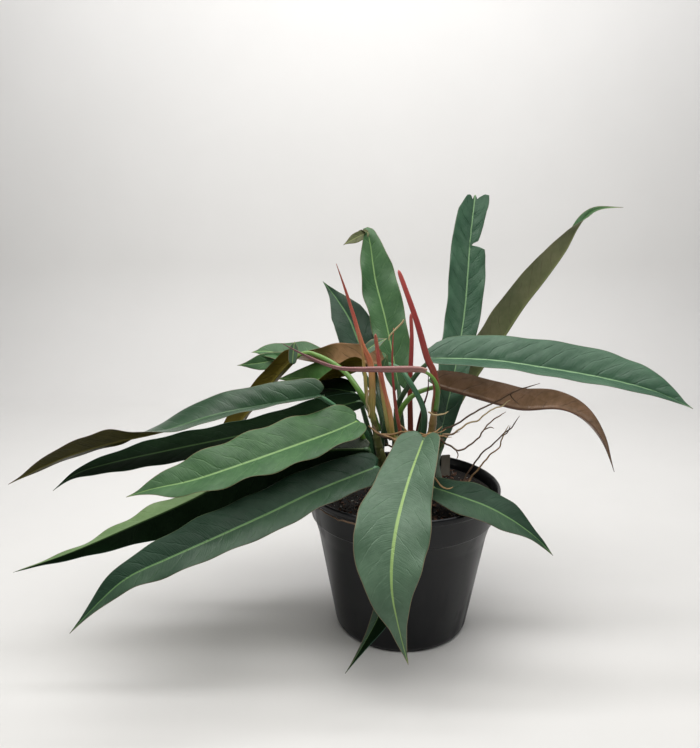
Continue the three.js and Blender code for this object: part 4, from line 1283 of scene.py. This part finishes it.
@dataclass
class Pot:
    """The nursery pot, turned from one profile, with a collar, a rolled lip and drain holes."""

    height: float = 195
    rim: float = 127
    collar_foot: float = 120
    collar_foot_z: float = 156
    neck: float = 111
    neck_z: float = 133
    base: float = 88
    wall: float = 2.5
    hole: float = 6.0
    hole_ring: float = 66
    holes: int = 6
    sides: int = 144

    def build(self, materials: Materials) -> None:
        """Turns the wall and the floor and puts them in the pot's place."""
        sheet = Sheet()
        profile = self._rounded(self._profile())
        turn = np.linspace(0, 2 * math.pi, self.sides, endpoint=False)
        radius, level = profile[:, 0], profile[:, 1]
        points = np.stack([radius[:, None] * np.cos(turn), radius[:, None] * np.sin(turn),
                           np.repeat(level[:, None], self.sides, 1)], -1)
        sheet.grid(points, points, ring=True)
        piece = sheet.make("pot_shell", "pot", [materials.pot()])
        self._drill(piece)
        settle(piece, "pot_plastic", "pot")

    def _profile(self) -> list[tuple[float, float, float]]:
        """Corners of the section with the radius of each: out along the base, up, in and down."""
        inner = self.rim - 4.0
        return [(1.0, 4.0, 0), (58.0, 4.0, 3), (66.0, 0.0, 2), (self.base - 4, 0.0, 1.5),
                (self.base, 5.0, 4), (self.neck, self.neck_z, 4),
                (114.5, 145.0, 5), (self.collar_foot - 2.5, self.collar_foot_z - 1.5, 2),
                (self.collar_foot, self.collar_foot_z, 1.2),
                (self.rim - 2.2, self.height - 9.0, 2), (self.rim, self.height - 7.5, 1.2),
                (self.rim, self.height - 1.5, 1.8), (self.rim - 2.5, self.height, 1.5),
                (inner - 0.5, self.height - 2.5, 2), (inner - 2.5, self.height - 9.0, 2),
                (self.collar_foot - 3, self.collar_foot_z, 3),
                (self.neck - self.wall, self.neck_z, 4), (self.base - self.wall, 10.0, 4),
                (66.0, 3.2, 2), (58.0, 6.8, 2), (1.0, 6.8, 0)]

    @staticmethod
    def _rounded(corners: list[tuple[float, float, float]]) -> np.ndarray:
        """A fine line through corners, each turned into an arc."""
        line = [corners[0][:2]]
        for before, here, after in zip(corners, corners[1:], corners[2:]):
            a, b, c = (np.array(p[:2], float) for p in (before, here, after))
            reach = min(here[2], np.linalg.norm(a - b) * 0.45, np.linalg.norm(c - b) * 0.45)
            start, end = b + unit(a - b) * reach, b + unit(c - b) * reach
            for t in np.linspace(0, 1, 6):
                line.append(tuple((1 - t) ** 2 * start + 2 * t * (1 - t) * b + t * t * end))
        line.append(corners[-1][:2])
        fine = [line[0]]
        for a, b in zip(line, line[1:]):
            count = max(1, int(math.dist(a, b) / 6.0))
            fine += [tuple(np.array(a) + (np.array(b) - a) * k / count)
                     for k in range(1, count + 1)]
        return np.array(fine)

    def _drill(self, piece: bpy.types.Object) -> None:
        """Cuts the drain holes through the floor."""
        tools = bmesh.new()
        for k in range(self.holes):
            turn = 2 * math.pi * k / self.holes
            centre = Vector((math.cos(turn), math.sin(turn), 0)) * self.hole_ring * MM
            made = bmesh.ops.create_cone(tools, cap_ends=True, segments=32,
                                         radius1=self.hole * MM, radius2=self.hole * MM,
                                         depth=0.03)
            bmesh.ops.translate(tools, verts=made["verts"], vec=centre)
        cutter = formed("drills", tools)
        cut = piece.modifiers.new("drain", "BOOLEAN")
        cut.operation = "DIFFERENCE"
        cut.object = cutter
        cut.solver = "EXACT"
        evaluated = piece.evaluated_get(bpy.context.evaluated_depsgraph_get())
        piece.data = bpy.data.meshes.new_from_object(evaluated)
        piece.modifiers.clear()
        bpy.data.objects.remove(cutter)


@dataclass
class Soil:
    """The potting mix: a lumpy crowned body, bark chips and perlite grains."""

    top: float = 178
    crown: float = 3
    radius: float = 117.5
    seed: int = 7

    def build(self, materials: Materials) -> None:
        """Builds the body and scatters the chips and grains on it."""
        self._body(materials)
        random = np.random.RandomState(self.seed)
        bark, perlite = materials.plain(Plain.BARK_CHIPS), materials.plain(Plain.PERLITE)
        self._scatter(random, "bark_chips", 950, (2.2, 8.5), 0.4, bark)
        self._scatter(random, "perlite_grains", 260, (1.2, 3.2), 0.8, perlite)

    def _height(self, x: np.ndarray, y: np.ndarray) -> np.ndarray:
        """Level of the surface: a low crown, waves and lumps."""
        far = np.hypot(x, y) / self.radius
        waves = (1.6 * np.sin(x / 17 + 1) * np.cos(y / 14) + 0.9 * np.sin(x / 6.1 + y / 9)
                 + 0.7 * np.cos(y / 4.7 - x / 7.3) + 0.5 * np.sin(x / 2.6) * np.sin(y / 2.9))
        crown = self.crown * (1.4 - 0.3 * far ** 2)
        return self.top + crown + waves * np.clip(1.1 - far, 0.3, 1)

    def _body(self, materials: Materials) -> None:
        """The lumpy top and a plain hidden underside."""
        sheet = Sheet()
        reach = np.concatenate([[0.8], np.linspace(3, self.radius, 52)])
        turn = np.linspace(0, 2 * math.pi, 150, endpoint=False)
        x, y = reach[:, None] * np.cos(turn), reach[:, None] * np.sin(turn)
        points = np.stack([x, y, self._height(x, y)], -1)
        top = sheet.grid(points, points, ring=True)
        skirt = points[-1:] + np.array([[[0, 0, 0.0]], [[0, 0, -6.0]], [[0, 0, -18.0]]])
        skirt[1:, :, :2] *= np.array([1.0, 0.985])[:, None, None]
        low = sheet.grid(skirt, skirt, ring=True)
        sheet.cap(top[0], flip=True)
        sheet.cap(low[-1])
        piece = sheet.make("soil_body", "soil", [materials.plain(Plain.POTTING_MIX)])
        self._upright(piece)
        settle(piece, "soil", "soil")

    @staticmethod
    def _upright(piece: bpy.types.Object) -> None:
        """Joins doubled points and turns every face outwards."""
        work = bmesh.new()
        work.from_mesh(piece.data)
        bmesh.ops.remove_doubles(work, verts=work.verts, dist=1e-6)
        bmesh.ops.recalc_face_normals(work, faces=work.faces)
        work.to_mesh(piece.data)
        work.free()

    def _scatter(self, random: np.random.RandomState, name: str, count: int,
                 sizes: tuple[float, float], flatness: float, material: bpy.types.Material,
                 ) -> None:
        """Scatters small irregular solids half sunk in the surface.

        Args:
            random: source of places and shapes.
            name: the piece's name.
            count: how many there are.
            sizes: shortest and longest, in millimetres.
            flatness: height as a share of the length.
            material: their finish.
        """
        work = bmesh.new()
        for _ in range(count):
            far = (self.radius - 6) * math.sqrt(random.uniform(0, 1))
            turn = random.uniform(0, 2 * math.pi)
            size = sizes[0] + (sizes[1] - sizes[0]) * random.uniform(0, 1) ** 2.2
            made = bmesh.ops.create_icosphere(work, subdivisions=1, radius=size / 2 * MM)
            stretch = Vector((1, random.uniform(0.35, 0.8), flatness * random.uniform(0.6, 1.1)))
            tilt = [random.uniform(-0.5, 0.5), random.uniform(-0.5, 0.5),
                    random.uniform(0, 6.283)]
            place = np.array([far * math.cos(turn), far * math.sin(turn)])
            level = float(self._height(place[0], place[1])) + size * 0.12
            for vert in made["verts"]:
                vert.co *= random.uniform(0.72, 1.15)
                vert.co = Vector(a * b for a, b in zip(vert.co, stretch))
                for axis, amount in zip("XYZ", tilt):
                    vert.co.rotate(Matrix.Rotation(amount, 3, axis))
                vert.co += Vector((place[0] * MM, place[1] * MM, level * MM))
        settle(formed(name, work, material), "soil")


@dataclass
class Label:
    """The blank plant label, a flat stake with a pointed foot, pushed in beside the plant."""

    width: float = 13
    thickness: float = 0.8
    foot: float = 140
    top: float = 213
    place: tuple[float, float] = (64, 56)
    turn: float = 15

    def build(self, materials: Materials) -> None:
        """Builds the stake with rounded shoulders."""
        work = bmesh.new()
        half = self.width / 2
        outline = [(-0.5, self.foot), (-half, self.foot + 14), (-half, self.top - 2)]
        outline += [(-half + 2 * (1 - math.cos(a)), self.top - 2 + 2 * math.sin(a))
                    for a in np.linspace(0.2, math.pi / 2, 5)]
        outline += [(-x, z) for x, z in reversed(outline)]
        verts = [work.verts.new((x * MM, -self.thickness / 2 * MM, z * MM)) for x, z in outline]
        face = work.faces.new(verts)
        push = bmesh.ops.extrude_face_region(work, geom=[face])
        moved = [v for v in push["geom"] if isinstance(v, bmesh.types.BMVert)]
        bmesh.ops.translate(work, verts=moved, vec=(0, self.thickness * MM, 0))
        bmesh.ops.recalc_face_normals(work, faces=work.faces)
        edges = [e for e in work.edges if abs(e.verts[0].co.y - e.verts[1].co.y) < 1e-6]
        bmesh.ops.bevel(work, geom=edges, offset=0.00018, segments=1, affect="EDGES")
        spin = Matrix.Rotation(math.radians(self.turn), 3, "Z")
        for vert in work.verts:
            vert.co = spin @ vert.co + Vector((self.place[0] * MM, self.place[1] * MM, 0))
        settle(formed("label_stake", work, materials.label()), "label_plastic", "plant_label")


# ------------------------------------------------------------------ stems, sheaths and roots


# First seed of each kind of strand.
SHEATH_SEED, TWIN_SEED, ROOT_SEED, SHOOT_SEED, STUB_SEED, TANGLE_SEED = 30, 50, 60, 80, 90, 120


def build_stems(materials: Materials) -> None:
    """Builds the three short stems with their leaf scars."""
    for number, (name, (course, tip, finish)) in enumerate(STEMS.items()):
        tube = Tube(course, [(0, 8.0), (0.3, 7.4), (0.9, tip + 0.6), (1, tip * 0.7)],
                    rings=0.7, sides=24, step=1.6, seed=number)
        settle(tube.make(f"stem_{name}_piece", materials.strand(finish)), "stem",
               f"stem_{name}")


def build_stubs(materials: Materials) -> None:
    """Builds the stalks and stubs that fill the crown."""
    for number, (name, (radius, finish, course)) in enumerate(STUBS.items()):
        tube = Tube(course, [(0, radius * 1.2), (0.5, radius), (0.93, radius * 0.7), (1, 0.5)],
                    groove=0.2, seed=STUB_SEED + number)
        settle(tube.make(name, materials.strand(finish)), "petiole")


def build_sheaths(materials: Materials) -> None:
    """Builds the sheaths that wrap each new leaf: long grooved straps, pointed or blunt."""
    for number, (name, (radius, blunt, foot, finish, course)) in enumerate(SHEATHS.items()):
        if blunt:
            radii = [(0, radius * 0.8), (0.15, radius), (0.5, radius * 0.86),
                     (0.95, radius * 0.62), (0.985, radius * 0.48), (1, radius * 0.12)]
        else:
            radii = [(0, radius * 0.8), (0.12, radius), (0.34, radius * 0.9),
                     (0.55, radius * 0.62), (0.8, radius * 0.4), (1, 0.35)]
        tube = Tube([foot, *course], radii, groove=0.42, flat=0.25, sides=20, step=2.0,
                    seed=SHEATH_SEED + number)
        sheet = Sheet()
        tube.add_to(sheet)
        for twin in TWINS.get(name, ()):
            Tube(twin, [(0, 1.2), (0.2, 2.6), (0.6, 2.1), (1, 0.3)], groove=0.3, flat=0.2,
                 sides=14, step=2.0, seed=TWIN_SEED + number).add_to(sheet, 1)
        second = materials.strand(Strand.SHEATH_GREEN)
        settle(sheet.make(f"sheath_{name}_piece", "strand", [materials.strand(finish), second]),
               "sheath", f"sheath_{name}")


def build_roots(materials: Materials) -> None:
    """Builds the aerial roots: thin wandering strands with side shoots, tapering to their tips."""
    for number, (name, (finish, course)) in enumerate(ROOTS.items()):
        sheet = Sheet()
        Tube(course, [(0, 1.3), (0.5, 1.05), (0.9, 0.8), (1, 0.3)], wobble=1.2, sides=10,
             step=1.2, seed=ROOT_SEED + number).add_to(sheet)
        for index, shoot in enumerate(SHOOTS.get(name, ())):
            Tube(shoot, [(0, 0.9), (0.8, 0.65), (1, 0.25)], wobble=0.8, sides=8, step=1.2,
                 seed=SHOOT_SEED + number + index).add_to(sheet)
        settle(sheet.make(f"root_{name}_piece", "strand", [materials.strand(finish)]),
               "aerial_root", f"aerial_root_{name}")
    for number, (name, (finish, courses)) in enumerate(TANGLE.items()):
        sheet = Sheet()
        for index, course in enumerate(courses):
            Tube(course, [(0, 0.9), (0.15, 1.3), (0.6, 1.1), (0.9, 0.8), (1, 0.3)], wobble=1.1,
                 sides=9, step=1.3, seed=TANGLE_SEED + number * 10 + index).add_to(sheet)
        settle(sheet.make(f"root_{name}", "strand", [materials.strand(finish)]), "aerial_root")


# ------------------------------------------------------------------ studio


# Name, place, the point it faces, size, power and colour of each light.
LIGHTS = (
    ("overhead", (-0.1, -0.4, 1.6), (0.0, 0.05, 0.2), (1.7, 1.2), 28, (1.0, 0.985, 0.96)),
    ("left_side", (-1.5, -0.5, 0.7), (0.0, 0.0, 0.15), (0.35, 1.2), 2.2, (1.0, 0.99, 0.97)),
    ("right_side", (1.5, -0.6, 0.7), (0.0, 0.0, 0.15), (0.35, 1.2), 3.0, (1.0, 1.0, 1.0)),
    ("backdrop_wash", (0.0, 0.5, 2.0), (0.0, 1.5, 0.7), (2.6, 0.4), 30, (1.0, 0.99, 1.0)),
)


@dataclass
class Studio:
    """The plain floor and backdrop, the lights and the camera."""

    camera_place: Triple = (-0.0693, -0.8748, 0.5292)
    camera_tilt: float = 77.8
    lens: float = 33.786
    floor_front: float = -3.0
    bend_start: float = 1.1
    bend_radius: float = 0.4
    wall_top: float = 3.2
    half_width: float = 3.5

    def build(self, materials: Materials) -> None:
        """Sets everything up round the object."""
        self._camera()
        self._floor(materials)
        self._world()
        for light in LIGHTS:
            self._light(*light)

    def _camera(self) -> None:
        """A square-on camera, a little above the plant and tilted down."""
        data = bpy.data.cameras.new("camera")
        data.sensor_width = 36
        data.lens = self.lens
        camera = linked(bpy.data.objects.new("camera", data))
        camera.location = self.camera_place
        camera.rotation_euler = (math.radians(self.camera_tilt), 0, 0)
        bpy.context.scene.camera = camera
        bpy.context.scene.view_settings.view_transform = "Standard"

    def _floor(self, materials: Materials) -> None:
        """A floor that curves up into a backdrop."""
        sheet = Sheet()
        bend = [(self.floor_front, 0), (self.bend_start, 0)]
        bend += [(self.bend_start + self.bend_radius * math.sin(a),
                  self.bend_radius - self.bend_radius * math.cos(a))
                 for a in np.linspace(0.08, math.pi / 2, 20)]
        bend += [(self.bend_start + self.bend_radius, self.wall_top)]
        across = np.linspace(-self.half_width, self.half_width, 3) / MM
        line = np.array(bend) / MM
        points = np.stack([np.broadcast_to(across, (len(line), 3)),
                           np.repeat(line[:, :1], 3, 1), np.repeat(line[:, 1:], 3, 1)], -1)
        sheet.grid(points, points)
        sheet.make("studio_floor", "floor", [materials.plain(Plain.FLOOR)])

    @staticmethod
    def _world() -> None:
        """Even pale light from all round."""
        world = bpy.data.worlds.new("studio")
        world.use_nodes = True
        back = world.node_tree.nodes["Background"]
        back.inputs["Color"].default_value = (0.93, 0.95, 1.0, 1.0)
        back.inputs["Strength"].default_value = 0.08
        bpy.context.scene.world = world

    @staticmethod
    def _light(name: str, place: Triple, target: Triple, size: tuple[float, float],
               power: float, colour: Rgb) -> None:
        """Adds a soft rectangular light that faces a point."""
        data = bpy.data.lights.new(name, "AREA")
        data.shape = "RECTANGLE"
        data.size, data.size_y = size
        data.energy = power
        data.color = colour
        light = linked(bpy.data.objects.new(name, data))
        light.location = place
        light.rotation_euler = (Vector(target) - Vector(place)).to_track_quat("-Z", "Y").to_euler()


def main() -> None:
    """Builds everything in order."""
    materials = Materials(Effects())
    Studio().build(materials)
    Pot().build(materials)
    Soil().build(materials)
    Label().build(materials)
    build_stems(materials)
    build_sheaths(materials)
    build_roots(materials)
    build_stubs(materials)
    for leaf in LEAVES + FLAPS:
        leaf.build(materials)


if __name__ == "__main__":
    main()
